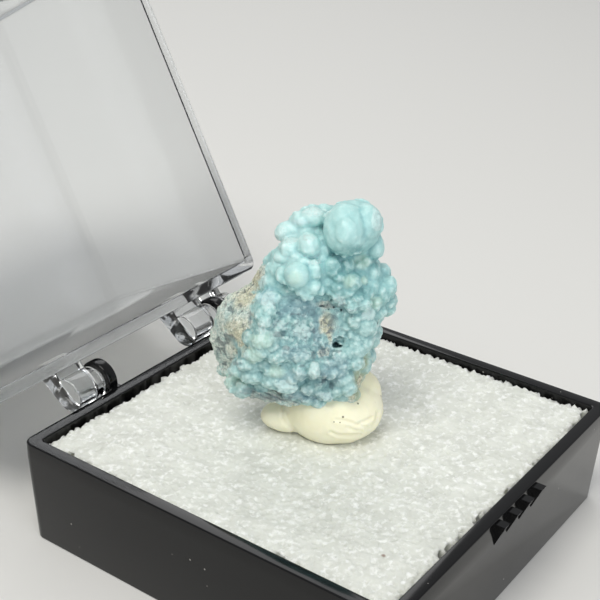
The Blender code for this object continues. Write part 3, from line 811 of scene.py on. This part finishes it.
# %% Place the domes
CAP_HEIGHT = 0.36
PROUD_SHARE = 0.95
DEALS = (
    (11, 900, 1.9, 0.70, 1.30, 0.66, -0.45), (13, 3000, 0.95, 0.35, 0.90, 0.68, -0.05),
    (12, 9000, 0.50, 0.22, 0.48, 0.60, 0.05),
)
BARE_ROCK = 0.4

domes = []
for px, py, half_wide, half_high, *proud in SEEN_DOMES:
    place, way, pixel = spot(px, py)
    radii = np.array((half_wide, half_high, math.sqrt(half_wide * half_high))) * pixel
    if proud:
        sunk = radii[2] - PROUD_SHARE * proud[0]
    else:
        sunk = radii[2] * (1 - CAP_HEIGHT ** 2) / (2 * CAP_HEIGHT)
        radii *= (1 + CAP_HEIGHT ** 2) / (2 * CAP_HEIGHT)
    domes.append((np.array(place + way * sunk), radii, seen_axes))
for x, y, z, radius in BACK_GLOBES:
    domes.append((np.array((x, y, z)), np.full(3, radius), np.eye(3)))
for deal in DEALS:
    middles, radii = scatter(*deal)
    crust = hidden_share(middles, np.zeros(len(middles))) <= BARE_ROCK
    domes += [(m, np.full(3, r), np.eye(3)) for m, r in zip(middles[crust], radii[crust])]
print(len(domes), "domes")

# %% [markdown]
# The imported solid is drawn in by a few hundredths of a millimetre, so that the domes stand out of it. No
# globe is a true ball, so a noise of its own makes each a little lumpy. All shells then grow into one skin.

# %% Grow the skin
SKIN_VOXEL = 0.085
SHRINK = 0.06
LARGE_RADIUS, SMALL_RADIUS = 1.2, 0.4
UNEVEN_ABOVE, LITTLE_UNEVEN, UNEVEN = 1.0, 0.06, 0.18


def unit_ball(subdivisions):
    """The points and triangles of a ball with a radius of 1."""
    ball = bmesh.new()
    bmesh.ops.create_icosphere(ball, subdivisions=subdivisions, radius=1.0)
    made = np.array([v.co[:] for v in ball.verts]), np.array([[v.index for v in f.verts] for f in ball.faces])
    ball.free()
    return made


small_ball, middle_ball, large_ball = (unit_ball(subdivisions) for subdivisions in (2, 3, 4))
point_ways = np.zeros_like(corners)
for i in range(3):
    np.add.at(point_ways, triangles[:, i], facing * areas[:, None])
point_ways /= np.linalg.norm(point_ways, axis=1)[:, None]
all_verts, all_faces = [corners - point_ways * SHRINK], [triangles]
count = len(corners)
for i, (middle, radii, axes) in enumerate(domes):
    size = radii.max()
    verts, faces = large_ball if size > LARGE_RADIUS else middle_ball if size > SMALL_RADIUS else small_ball
    uneven = LITTLE_UNEVEN if size > UNEVEN_ABOVE else UNEVEN
    lumpy = [1 + uneven * noise.noise(Vector(v) * 1.6 + Vector((i, 0, 0)) * 3.1)
             + 0.5 * uneven * noise.noise(Vector(v) * 4.0 + Vector((0, i, 0)) * 2.3) for v in verts]
    all_verts.append(middle + (verts * np.array(lumpy)[:, None] * radii) @ axes)
    all_faces.append(faces + count)
    count += len(verts)
mesh = bpy.data.meshes.new("specimen")
mesh.from_pydata((np.concatenate(all_verts) * MM).tolist(), [], np.concatenate(all_faces).tolist())
specimen = put("gibbsite_specimen", mesh)
remesh(specimen, SKIN_VOXEL, smoothing=3)
print("a skin of", len(specimen.data.polygons), "faces")

# %% [markdown]
# A voxel remesh makes many more faces than the skin needs, so Decimate thins it. A vertex group steers that:
# points that face away from the camera weigh the most, so the back is thinned most and the front stays fine.

# %% Thin the skin
SKIN_TRIANGLES = 194000
FRONT_WEIGHT = 0.25

facing_away = specimen.vertex_groups.new(name="facing_away")
for point, way in zip(specimen.data.vertices, specimen.data.vertex_normals):
    turned_away = way.vector.dot(see_back) < -0.1
    facing_away.add((point.index,), 1.0 if turned_away else FRONT_WEIGHT, "REPLACE")
thinner = specimen.modifiers.new("thinner", "DECIMATE")
thinner.ratio = SKIN_TRIANGLES / (2 * len(specimen.data.polygons))
thinner.vertex_group = "facing_away"
thinner.vertex_group_factor = 1.0
settle(specimen)
print(len(domes), "domes in a skin of", len(specimen.data.vertices), "points")

# %% [markdown]
# ## Fine relief, and what the finish needs to know
# The skin's points are read into arrays, because a hundred thousand of them are worked on at once. The mean
# of a point's surroundings comes from moving every point to the middle of its neighbours, again and again.
# A remesh leaves the creases low on the specimen too deep, so they are filled a little first.

# %% Read the skin
FILL, FILL_ROUNDS = 0.60, 50
CLEAR_CROWN, CLEAR_FADE = 18.5, 4.0

mesh = specimen.data
count = len(mesh.vertices)
where = np.empty(count * 3)
mesh.vertices.foreach_get("co", where)
where = where.reshape(-1, 3) / MM
ways = np.empty(count * 3)
mesh.vertex_normals.foreach_get("vector", ways)
ways = ways.reshape(-1, 3)

pairs = np.empty(len(mesh.edges) * 2, dtype=np.int64)
mesh.edges.foreach_get("vertices", pairs)
pairs = pairs.reshape(-1, 2)
links = np.bincount(pairs.ravel(), minlength=count).astype(float)


def relaxed(points, rounds):
    """Each point moved towards the middle of its neighbours, again and again."""
    for _ in range(rounds):
        total = np.zeros_like(points)
        for axis in range(3):
            total[:, axis] += np.bincount(pairs[:, 0], points[pairs[:, 1], axis], count)
            total[:, axis] += np.bincount(pairs[:, 1], points[pairs[:, 0], axis], count)
        points = total / links[:, None]
    return points


def standing(points, mean, out_ways):
    """How far each point stands out of its surroundings, in mm."""
    return np.sum((points - mean) * out_ways, axis=1)


hollow = np.minimum(0.0, standing(where, relaxed(where, FILL_ROUNDS), ways))
fill = FILL * below(where, CLEAR_CROWN, CLEAR_FADE, 0.45) * hollow
where -= ways * relaxed(fill[:, None] * np.ones(3), 3)[:, :1]
print("creases filled by", round(-fill.min(), 2), "mm at most")

# %% [markdown]
# Crust and rock break differently, so each point is told what it is. Rock lies in its patches except where a
# dome covers it. What is below the crown is knobbly like a cauliflower, and most of all in the grainy
# patches and on the back.

# %% What each point is
DOME_SKIN = 0.10
SMOOTH_ABOVE, SMOOTH_FADE = 16.6, 3.0

wander = np.array([0.7 * noise.noise(Vector(p) / 0.8) + 0.5 * noise.noise(Vector(p) / 0.3) for p in where])
on_dome = np.zeros(count)
for middle, radii, axes in domes:
    beside = np.flatnonzero(np.abs(where - middle).max(axis=1) < radii.max() * 1.2 + 0.1)
    out = np.linalg.norm(((where[beside] - middle) @ axes.T) / radii, axis=1)
    close = np.clip(1.6 - np.abs(out - 1.0) * radii.mean() / DOME_SKIN, 0.0, 1.0)
    on_dome[beside] = np.maximum(on_dome[beside], close)
seen_rock = share(where, ROCK_PATCHES, wander)
rock = np.maximum(seen_rock * (1.0 - 0.9 * on_dome), hidden_share(where, wander))
dark_rock_and_crevice_shade = share(where, DARK_ROCK_AND_CREVICE_SHADE_PATCHES, wander, soft=0.8)
white = share(where, WHITE_PATCHES, wander, soft=0.6)
layered = share(where, LAYERED_PATCHES, wander)
grainy = share(where, GRAINY_PATCHES, wander, soft=0.9)
grainy = np.maximum(grainy, 0.6 * (ways @ to_camera < 0.0))
knobby = below(where, SMOOTH_ABOVE, SMOOTH_FADE, 0.12) * (0.72 + 0.28 * grainy)
print("rock on", round(100 * rock.mean()), "% of the skin")

# %% [markdown]
# Domes are waxy and only a little uneven, and the small ones carry knobs. Rock breaks in flat chips: each
# cell of a cell noise gets a plane of its own, tilted at random. The foot is layered, with ledges that run
# along one way. Each kind of relief has a width and a height in millimetres.

# %% Push the relief in and out
CHIP, CHIP_LIFT = 0.95, 0.16
GRAIN, GRAIN_LIFT = 0.34, 0.09
KNOB, KNOB_LIFT = 0.48, 0.17
FINE_KNOB, FINE_KNOB_LIFT = 0.25, 0.06
SWELL, SWELL_LIFT = 0.7, 0.04
LAYER, LEDGE_LIFT = 0.42, 0.09
layer_way = np.array(see_right) * 0.42 + np.array(see_up) * 0.9


def chips(point, size, seed):
    """A plane of its own for each cell of the cell noise: -1 to 1 or so."""
    middle = noise.voronoi(point / size)[1][0]
    tilt = noise.noise_vector(middle * 7.3 + Vector((seed, 0, 0)))
    return 1.6 * tilt.dot(point / size - middle) + 0.7 * noise.noise(middle * 5.1)


def knobs(point, size):
    """Round bumps, one to each cell of the cell noise."""
    return 0.45 - noise.voronoi(point / size)[0][0]


lift = np.zeros(count)
for i in range(count):
    point = Vector(where[i])
    broken = max(rock[i], 0.8 * white[i], 0.65 * knobby[i])
    if broken > 0.03:
        chipped = CHIP_LIFT * rock[i] * chips(point, CHIP, 1.0) + GRAIN_LIFT * chips(point, GRAIN, 2.0)
        lift[i] += broken * chipped
    if rock[i] < 0.97:
        knobbed = KNOB_LIFT * knobs(point, KNOB) + FINE_KNOB_LIFT * knobs(point, FINE_KNOB)
        lift[i] += (1 - rock[i]) * (knobby[i] * knobbed + SWELL_LIFT * noise.noise(point / SWELL))
steps = (where @ layer_way) / LAYER + 0.5 * wander
ledge = np.abs(steps % 1.0 - 0.5) * 4 - 1.0
lift += layered * rock * LEDGE_LIFT * ledge
# The troughs between the ledges are darker: partly dark layers, partly painted shade in the troughs.
dark_rock_and_crevice_shade = np.maximum(dark_rock_and_crevice_shade, layered * rock * np.clip(-1.6 * ledge - 0.5, 0.0, 0.75))
where += ways * lift[:, None]
print("relief of", round(np.abs(lift).max(), 2), "mm at most")

# %% [markdown]
# The photograph shows one deep hole and a few small ones, most of them between the bare rock and the crust.
# Each is pressed in along the way that the camera looks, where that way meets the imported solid.

# %% Press the holes in
HOLE_REACH = 1.6

# Where the holes are; the finish paints them nearly black as painted shade.
hole_shade = np.zeros(count)
for px, py, half_wide, half_high, deep in HOLES:
    place, way, pixel = spot(px, py)
    offset = where - np.array(place)
    sizes = np.array((half_wide, half_high)) * pixel
    across = np.linalg.norm((offset @ seen_axes[:2].T) / sizes, axis=1) + 0.8 * wander
    sink = np.clip(1.35 - across, 0.0, 1.0) * (np.abs(offset @ np.array(way)) < HOLE_REACH)
    where += np.array(way) * (deep * np.minimum(1.0, 1.6 * sink))[:, None]
    hole_shade = np.maximum(hole_shade, np.clip(2.2 * sink, 0.0, 1.0))
mesh.vertices.foreach_set("co", (where * MM).ravel())
mesh.update()
mesh.vertex_normals.foreach_get("vector", ways.ravel())
print(len(HOLES), "holes")

# %% [markdown]
# Numbers kept on the mesh tell the finish which patch a point is in, and how far it stands out: tips are
# frosted white, partly as painted highlight, and creases get a deep teal that is painted shade. Tips compares
# a point with what is close around it, and swell compares it with its wider surroundings.

# %% Keep the numbers for the finish
TIP_SPAN = 0.16
SWELL_SPAN = 0.70

near_mean = relaxed(where, 8)
tips = standing(where, near_mean, ways) / TIP_SPAN
swell = standing(where, relaxed(near_mean, 60), ways) / SWELL_SPAN
marks = {
    # Two of these marks carry painted shade: the dark crevices and ledge troughs, and the holes.
    "rock": rock, "dark_rock_and_crevice_shade": dark_rock_and_crevice_shade, "hole_shade": hole_shade, "grainy": grainy, "white": white,
    "coarse": np.clip(np.maximum.reduce([rock, 0.9 * white, knobby]), 0.0, 1.0),
    "tips": np.clip(0.5 + tips, 0.0, 1.0),
    "swell": np.clip(0.5 + swell, 0.0, 1.0),
    "blue": np.maximum(share(where, BLUE_PATCHES, wander, soft=0.7), 0.35 * below(where, 13.5, 3.0)),
    "low": below(where, 14.5, 3.0),
    # The deep mark is painted shade, from the shaded patches.
    "deep": np.maximum(share(where, SHADED_PATCHES, wander, soft=0.9),
                       0.35 * share(where, HALF_SHADED_PATCHES, wander, soft=0.9)),
    "pale": share(where, PALE_PATCHES, wander, soft=0.9),
    "cream": share(where, CREAM_PATCHES, wander, soft=0.6),
    "olive": share(where, OLIVE_PATCHES, wander, soft=0.7),
    "ochre": share(where, OCHRE_PATCHES, wander, soft=1.0),
}
for name, values in marks.items():
    mesh.attributes.new(name, "FLOAT", "POINT").data.foreach_set("value", values.astype(np.float32))
    print(name, round(float(values.mean()), 2))
mesh.transform(specimen_place)
mesh.shade_smooth()

# %% [markdown]
# ## The specimen's finish
# Gibbsite is an aluminium hydroxide, coloured here by traces of copper: waxy, a little see-through, pale
# aqua where it is thick and whiter where its skin is sugary. Light enters it and leaves a fraction of a
# millimetre away, so it gets subsurface scattering, with an IOR of 1.57. Its colour is one of two ramps, aqua
# or blue, read by how far a point stands out and by a mottle: the dark end in the creases is painted shade
# and the light end on the crests is painted light. Each patch then tints it by its own strength, and the
# shaded patches darken it as painted shade. The white on the tips is partly the sugary skin, partly painted
# highlight.

# %% The crust's colours
MOTTLE_WIDTH = 0.55
SUGAR_GRAIN = 0.20
RELIEF_LIGHT_STOPS = (0.20, 0.36, 0.50, 0.64, 0.82)
AQUA = ("#6A989E", "#89B9BB", "#A3D0CE", "#B5DDDA", "#CEEBE8")
BLUE = ("#547F8B", "#7DA5AD", "#94BBC1", "#AACDD0", "#CDE4E4")
# The deep tint darkens the crust as painted shade; the others are the crust's own tints.
TINTS = (
    ("deep", 0.95, "#B2C9CB", "MULTIPLY"), ("low", 1.0, "#FBF7F4", "MULTIPLY"),
    ("pale", 0.34, "#D9F4F1", "MIX"), ("cream", 0.48, "#C5E0CD", "MIX"), ("olive", 0.8, "#9BA884", "MIX"),
)

gibbsite_crust, tree, shader = finish("gibbsite_crust_on_rock", IOR=1.57, Subsurface_Weight=0.14,
                                      Subsurface_Scale=0.4 * MM, Subsurface_Radius=(0.5, 0.95, 1.0))
place = add(tree, "TexCoord").outputs["Object"]
mark = {name: add(tree, "Attribute", attribute_name=name).outputs["Fac"] for name in marks}


def weighed(first, second, share_of_first):
    """The mean of two numbers, the first with this share of it."""
    part = add(tree, "Math", {0: first, 1: share_of_first}, operation="MULTIPLY")
    return add(tree, "Math", {0: second, 1: 1 - share_of_first, 2: part}, operation="MULTIPLY_ADD")


mottle = add(tree, "TexNoise", {"Vector": place, "Scale": per(MOTTLE_WIDTH), "Detail": 4.0, "Roughness": 0.6})
# Painted light and shade: crests are lighter and creases darker, over a mottle of the crust's own tone.
relief_light_and_mottle = weighed(weighed(mark["tips"], mark["swell"], 0.5), mottle, 0.72)
aqua = add(tree, "ValToRGB", {0: relief_light_and_mottle}, stops=tuple(zip(RELIEF_LIGHT_STOPS, AQUA)))
blue = add(tree, "ValToRGB", {0: relief_light_and_mottle}, stops=tuple(zip(RELIEF_LIGHT_STOPS, BLUE)))
crust = add(tree, "Mix", {0: mark["blue"], 6: aqua, 7: blue}, data_type="RGBA")
for name, strength, tint, way in TINTS:
    tinted = add(tree, "Math", {0: mark[name], 1: strength}, operation="MULTIPLY")
    crust = add(tree, "Mix", {0: tinted, 6: crust, 7: tint}, data_type="RGBA", blend_type=way)
# The white on the tips is partly the crust's sugary skin and partly painted highlight.
sugar_and_highlight = add(tree, "TexNoise", {"Vector": place, "Scale": per(SUGAR_GRAIN), "Detail": 5.0, "Roughness": 0.7})
sugar_and_highlight = add(tree, "Math", {0: sugar_and_highlight, 1: mark["white"]}, operation="ADD")
sugar_and_highlight = add(tree, "ValToRGB", {0: weighed(sugar_and_highlight, mark["tips"], 0.45)}, stops=((0.54, 0.0), (0.80, 0.52)))
crust = add(tree, "Mix", {0: sugar_and_highlight, 6: crust, 7: "#DCF2EF"}, data_type="RGBA")
print(len(TINTS), "tints on the crust")

# %% [markdown]
# The rock is dull grey-green with cream grains, thin pale fibres that run upwards, a blue tint where the
# crust has crept in and ochre stains, and it is darker in its hollows as painted shade. The grains come from
# one noise, and the stains follow it, as rust does in a real stone.

# %% The rock's colours
ROCK_GRAIN = 0.22
FIBRE_WIDTH, FIBRE_LENGTH = 0.10, 0.55
TINT_WIDTH = 1.4
ROCK_STOPS = ((0.34, "#71817D"), (0.44, "#B0C1B7"), (0.54, "#D8E1D4"), (0.66, "#F8F9F1"))
OCHRE_STOPS = ((0.36, "#A69C78"), (0.52, "#D3CAA3"), (0.66, "#F2EBCF"))

grains = add(tree, "TexNoise", {"Vector": place, "Scale": per(ROCK_GRAIN), "Detail": 6.0, "Roughness": 0.75})
stone = add(tree, "ValToRGB", {0: grains}, stops=ROCK_STOPS)
tint = add(tree, "TexNoise", {"Vector": place, "Scale": per(TINT_WIDTH), "Detail": 3.0})
tint = add(tree, "ValToRGB", {0: tint}, stops=((0.46, 0.0), (0.66, 0.45)))
stone = add(tree, "Mix", {0: tint, 6: stone, 7: "#9CC6C6"}, data_type="RGBA")
ochre = add(tree, "ValToRGB", {0: grains}, stops=OCHRE_STOPS)
stained = add(tree, "Math", {0: mark["ochre"], 1: 0.62}, operation="MULTIPLY")
stone = add(tree, "Mix", {0: stained, 6: stone, 7: ochre}, data_type="RGBA")
along = (per(FIBRE_WIDTH), per(FIBRE_WIDTH), per(FIBRE_LENGTH))
fibres = add(tree, "VectorMath", {0: place, 1: along}, operation="MULTIPLY")
fibres = add(tree, "TexNoise", {"Vector": fibres, "Scale": 1.0, "Detail": 3.0})
fibres = add(tree, "ValToRGB", {0: fibres}, stops=((0.56, 0.0), (0.68, 0.8)))
stone = add(tree, "Mix", {0: fibres, 6: stone, 7: "#F3F6EC"}, data_type="RGBA")
# Painted shade: the rock is darker where it lies lower than its surroundings.
hollow_shade = add(tree, "ValToRGB", {0: mark["tips"]}, stops=((0.12, 0.65), (0.40, 0.0)))
stone = add(tree, "Mix", {0: hollow_shade, 6: stone, 7: "#46545A"}, data_type="RGBA")
surface = add(tree, "Mix", {0: mark["rock"], 6: crust, 7: stone}, data_type="RGBA")
print(len(ROCK_STOPS), "greys in the rock,", len(OCHRE_STOPS), "ochres in its stains")

# %% [markdown]
# Thin cracks part the grainy crust. The dark patches darken it, as dark rock at the foot and as painted shade
# in the crevices and in the troughs between the foot's layers, and the holes are painted nearly black as
# shade. Two bumps add what is finer than the mesh: a waxy skin's own grain everywhere, and a coarse broken
# one on rock, sugar and knobs.

# %% Cracks, holes and the fine bump
CRACK_APART = 0.75
CRACK_BEND = 0.6
SKIN_GRAIN = 0.12
BREAK_GRAIN = 0.32

bends = add(tree, "TexNoise", {"Vector": place, "Scale": per(0.35), "Detail": 2.0}).outputs["Color"]
bends = add(tree, "VectorMath", {0: bends, 1: [CRACK_BEND * MM] * 3, 2: place}, operation="MULTIPLY_ADD")
cracks = add(tree, "TexVoronoi", {"Vector": bends, "Scale": per(CRACK_APART)}, feature="DISTANCE_TO_EDGE")
cracks = add(tree, "ValToRGB", {0: cracks}, stops=((0.0, 0.60), (0.14, 0.0)))
patchy = add(tree, "ValToRGB", {0: mottle}, stops=((0.42, 0.0), (0.56, 1.0)))
cracks = add(tree, "Math", {0: cracks, 1: patchy}, operation="MULTIPLY")
cracks = add(tree, "Math", {0: cracks, 1: mark["grainy"]}, operation="MULTIPLY")
surface = add(tree, "Mix", {0: cracks, 6: surface, 7: "#5E7883"}, data_type="RGBA")
# Dark rock, and painted shade in the crevices and ledge troughs.
dark_breaks_and_shade = add(tree, "ValToRGB", {0: weighed(mark["dark_rock_and_crevice_shade"], grains, 0.6)}, stops=((0.50, 0.0), (0.82, 0.55)))
surface = add(tree, "Mix", {0: dark_breaks_and_shade, 6: surface, 7: "#54626A"}, data_type="RGBA")
# Painted shade: the holes nearly black.
surface = add(tree, "Mix", {0: mark["hole_shade"], 6: surface, 7: "#27444A"}, data_type="RGBA")
feed(tree, shader, "Base Color", surface)
feed(tree, shader, "Roughness", add(tree, "ValToRGB", {0: mark["rock"]}, stops=((0.0, 0.44), (1.0, 0.62))))

fine = add(tree, "TexNoise", {"Vector": place, "Scale": per(SKIN_GRAIN), "Detail": 4.0})
fine = add(tree, "Bump", {"Height": fine, "Strength": 0.35, "Distance": 0.05 * MM})
broken = add(tree, "TexNoise", {"Vector": place, "Scale": per(BREAK_GRAIN), "Detail": 5.0, "Roughness": 0.72})
broken = add(tree, "Math", {0: broken, 1: mark["coarse"]}, operation="MULTIPLY")
broken = add(tree, "Bump", {"Height": broken, "Strength": 0.85, "Distance": 0.22 * MM, "Normal": fine})
feed(tree, shader, "Normal", broken)
specimen.data.materials.append(gibbsite_crust)
belongs(specimen, "box_body", "gibbsite", "gibbsite")

# %% [markdown]
# ## The putty
# Mineral putty is kneaded before use, so it has no edges at all, only folds. It starts as three squashed
# balls, each a middle and three radii in the specimen's frame, and a remesh with much smoothing joins them.

# %% The putty's lumps
PUTTY_VOXEL = 0.11
PUTTY_LOBES = (
    ((0.10, 0.10, 2.0), (4.55, 3.9, 3.1)),
    ((-3.9, -0.2, 1.15), (2.5, 1.9, 1.35)),
    ((2.4, 1.2, 2.7), (2.1, 2.1, 2.5)),
)

lumps = bmesh.new()
for middle, radii in PUTTY_LOBES:
    shape = Matrix.Translation(middle) @ Matrix.Diagonal((*radii, 1.0))
    bmesh.ops.create_icosphere(lumps, subdivisions=5, radius=1.0, matrix=shape)
putty = object_from("putty_lump", lumps)
remesh(putty, PUTTY_VOXEL, smoothing=12)
print("putty of", len(PUTTY_LOBES), "lobes")

# %% [markdown]
# Folds are pressed in where the photograph shows them: each is a broken line of pixels with a depth in
# millimetres. Points near the line go in while those beside it swell a little. On the hidden side the folds
# follow a noise, and the underside is kept flat where it sits on the foam.

# %% The putty's folds
FOLDS = (
    (((331, 432), (337, 435), (348, 435.5), (360, 434.5)), 0.13),
    (((336, 420), (344, 420.5), (351, 422.5), (358, 425.5), (366, 426.5)), 0.08),
    (((358, 424), (365, 421), (371, 417.5)), 0.10),
    (((366, 429), (371, 427), (376, 420), (378, 412)), 0.09),
    (((282, 406), (282, 418), (286, 424), (293, 431)), 0.08),
    (((286, 415), (290, 424), (297, 433), (306, 440)), 0.03),
    (((347, 427), (353, 430), (361, 431)), 0.05),
)
FOLD_WIDTH = 1.6
FOLD_REACH = 5.0
HIDDEN_FOLD_DEPTH = 0.09
PUTTY_FOOT = -0.15


def seen_at(point):
    """The pixel at which a point of the specimen's frame is seen."""
    from_eye = Vector(point) - eye
    depth = -from_eye.dot(see_back) * SENSOR_SPAN / PICTURE_SIDE
    return PICTURE_SIDE / 2 + from_eye.dot(see_right) / depth, PICTURE_SIDE / 2 - from_eye.dot(see_up) / depth


def line_distance(x, y, line):
    """How far a pixel is from a broken line."""
    nearest = PICTURE_SIDE
    for (x0, y0), (x1, y1) in zip(line, line[1:]):
        along = ((x - x0) * (x1 - x0) + (y - y0) * (y1 - y0)) / ((x1 - x0) ** 2 + (y1 - y0) ** 2)
        along = min(1.0, max(0.0, along))
        nearest = min(nearest, math.hypot(x - x0 - along * (x1 - x0), y - y0 - along * (y1 - y0)))
    return nearest


for point, way in zip(putty.data.vertices, [n.vector.copy() for n in putty.data.vertex_normals]):
    at = point.co / MM
    push = 0.07 * noise.noise(at / 1.5) + 0.025 * noise.noise(at / 0.5)
    if way.dot(see_back) > 0.0:
        px, py = seen_at(at)
        for line, depth in FOLDS:
            away = line_distance(px, py, line) / FOLD_WIDTH
            if away < FOLD_REACH:
                push += depth * (0.45 * math.exp(-((away - 1.8) ** 2)) - math.exp(-away * away))
    else:
        ridge = noise.noise(at / 1.1 + Vector((0, 0, 5)))
        push -= HIDDEN_FOLD_DEPTH * math.exp(-(ridge / 0.05) ** 2)
    point.co += way * push * MM
    point.co.z = max(point.co.z, PUTTY_FOOT * MM)
putty.data.transform(specimen_place)
putty.data.shade_smooth()
print(len(FOLDS), "folds in the putty")

# %% [markdown]
# The putty is a soft wax blend with a white filler: matt to satin, cream, and cloudy enough that light sinks
# in half a millimetre. Use has left a few dark specks of grit in it. Those that the photograph shows are
# given by pixel and size, and a few more are strewn by a cell noise.

# %% The putty's finish
PUTTY_SPECKS = ((343, 417, 0.10), (358, 403.5, 0.09), (334, 422, 0.06), (340, 422.5, 0.06), (381, 396, 0.11))
KNEADED_WIDTH = 3.0
GRIT_APART = 1.7
PUTTY_GRAIN = 0.35

mineral_putty, tree, shader = finish("mineral_putty_kneaded", IOR=1.48, Subsurface_Weight=0.35,
                                     Subsurface_Scale=0.7 * MM, Subsurface_Radius=(1.0, 0.85, 0.5))
place = add(tree, "TexCoord").outputs["Object"]
kneaded = add(tree, "TexNoise", {"Vector": place, "Scale": per(KNEADED_WIDTH), "Detail": 5.0})
cream = add(tree, "ValToRGB", {0: kneaded}, stops=((0.3, "#ECE8C7"), (0.7, "#F4F1D8")))
grit = add(tree, "TexVoronoi", {"Vector": place, "Scale": per(GRIT_APART)})
grit = add(tree, "ValToRGB", {0: grit}, stops=((0.0, 0.5), (0.016, 0.4), (0.03, 0.0)))
putty_tree = BVHTree.FromObject(putty, bpy.context.evaluated_depsgraph_get())
for px, py, size in PUTTY_SPECKS:
    middle = putty_tree.ray_cast(CAMERA_AT, specimen_place.to_3x3() @ spot(px, py)[1])[0]
    away = add(tree, "VectorMath", {0: place, 1: middle}, operation="DISTANCE")
    speck = add(tree, "MapRange", {0: away, 1: 1.3 * size * MM, 2: 0.6 * size * MM})
    grit = add(tree, "Math", {0: grit, 1: speck}, operation="MAXIMUM")
grain = add(tree, "TexNoise", {"Vector": place, "Scale": per(PUTTY_GRAIN), "Detail": 4.0})
feed(tree, shader, "Base Color", add(tree, "Mix", {0: grit, 6: cream, 7: "#6E6B55"}, data_type="RGBA"))
feed(tree, shader, "Roughness", add(tree, "ValToRGB", {0: kneaded}, stops=((0.3, 0.38), (0.7, 0.55))))
feed(tree, shader, "Normal", add(tree, "Bump", {"Height": grain, "Strength": 0.2, "Distance": 0.1 * MM}))
putty.data.materials.append(mineral_putty)
belongs(putty, "box_body", "putty", "putty")

# %% [markdown]
# ## Floor and light
# A pale floor and large soft lamps, as in a small product studio. The main light comes from high above,
# a little to the left of the camera, a wide one fills from low in front, and the sky is a plain pale grey.
# The plain sRGB view keeps each colour as it was written.

# %% Floor and light
FLOOR_HALF = 2500.0
SPECIMEN_MIDDLE = Vector((0, 0, 15))
LAMPS = (
    ("key", (-160, 0, 340), 170, 0.75, "#FFFDF8"),
    ("fill", (-120, -300, 110), 260, 0.48, "#F4F7FF"),
    ("back", (200, 200, 240), 180, 0.20, "#FFFFFF"),
)
SKY_STRENGTH = 0.54

floor_shape = bmesh.new()
bmesh.ops.create_grid(floor_shape, x_segments=1, y_segments=1, size=FLOOR_HALF)
floor = object_from("floor", floor_shape, finish("pale_floor", Base_Color="#DEDDD9", Roughness=0.6)[0])

for name, at_mm, size_mm, watts, colour in LAMPS:
    light = bpy.data.lights.new(name, "AREA")
    light.shape = "SQUARE"
    light.size = size_mm * MM
    light.energy = watts
    light.color = linear(colour)[:3]
    lamp = bpy.data.objects.new(name, light)
    aim = (SPECIMEN_MIDDLE - Vector(at_mm)).to_track_quat("-Z", "Y")
    lamp.matrix_world = Matrix.Translation(Vector(at_mm) * MM) @ aim.to_matrix().to_4x4()
    bpy.context.scene.collection.objects.link(lamp)
world = bpy.data.worlds.new("studio")
world.use_nodes = True
sky = world.node_tree.nodes["Background"]
feed(world.node_tree, sky, "Color", "#EEF0F2")
feed(world.node_tree, sky, "Strength", SKY_STRENGTH)
bpy.context.scene.world = world
bpy.context.scene.view_settings.view_transform = "Standard"
print(len(LAMPS), "lamps")
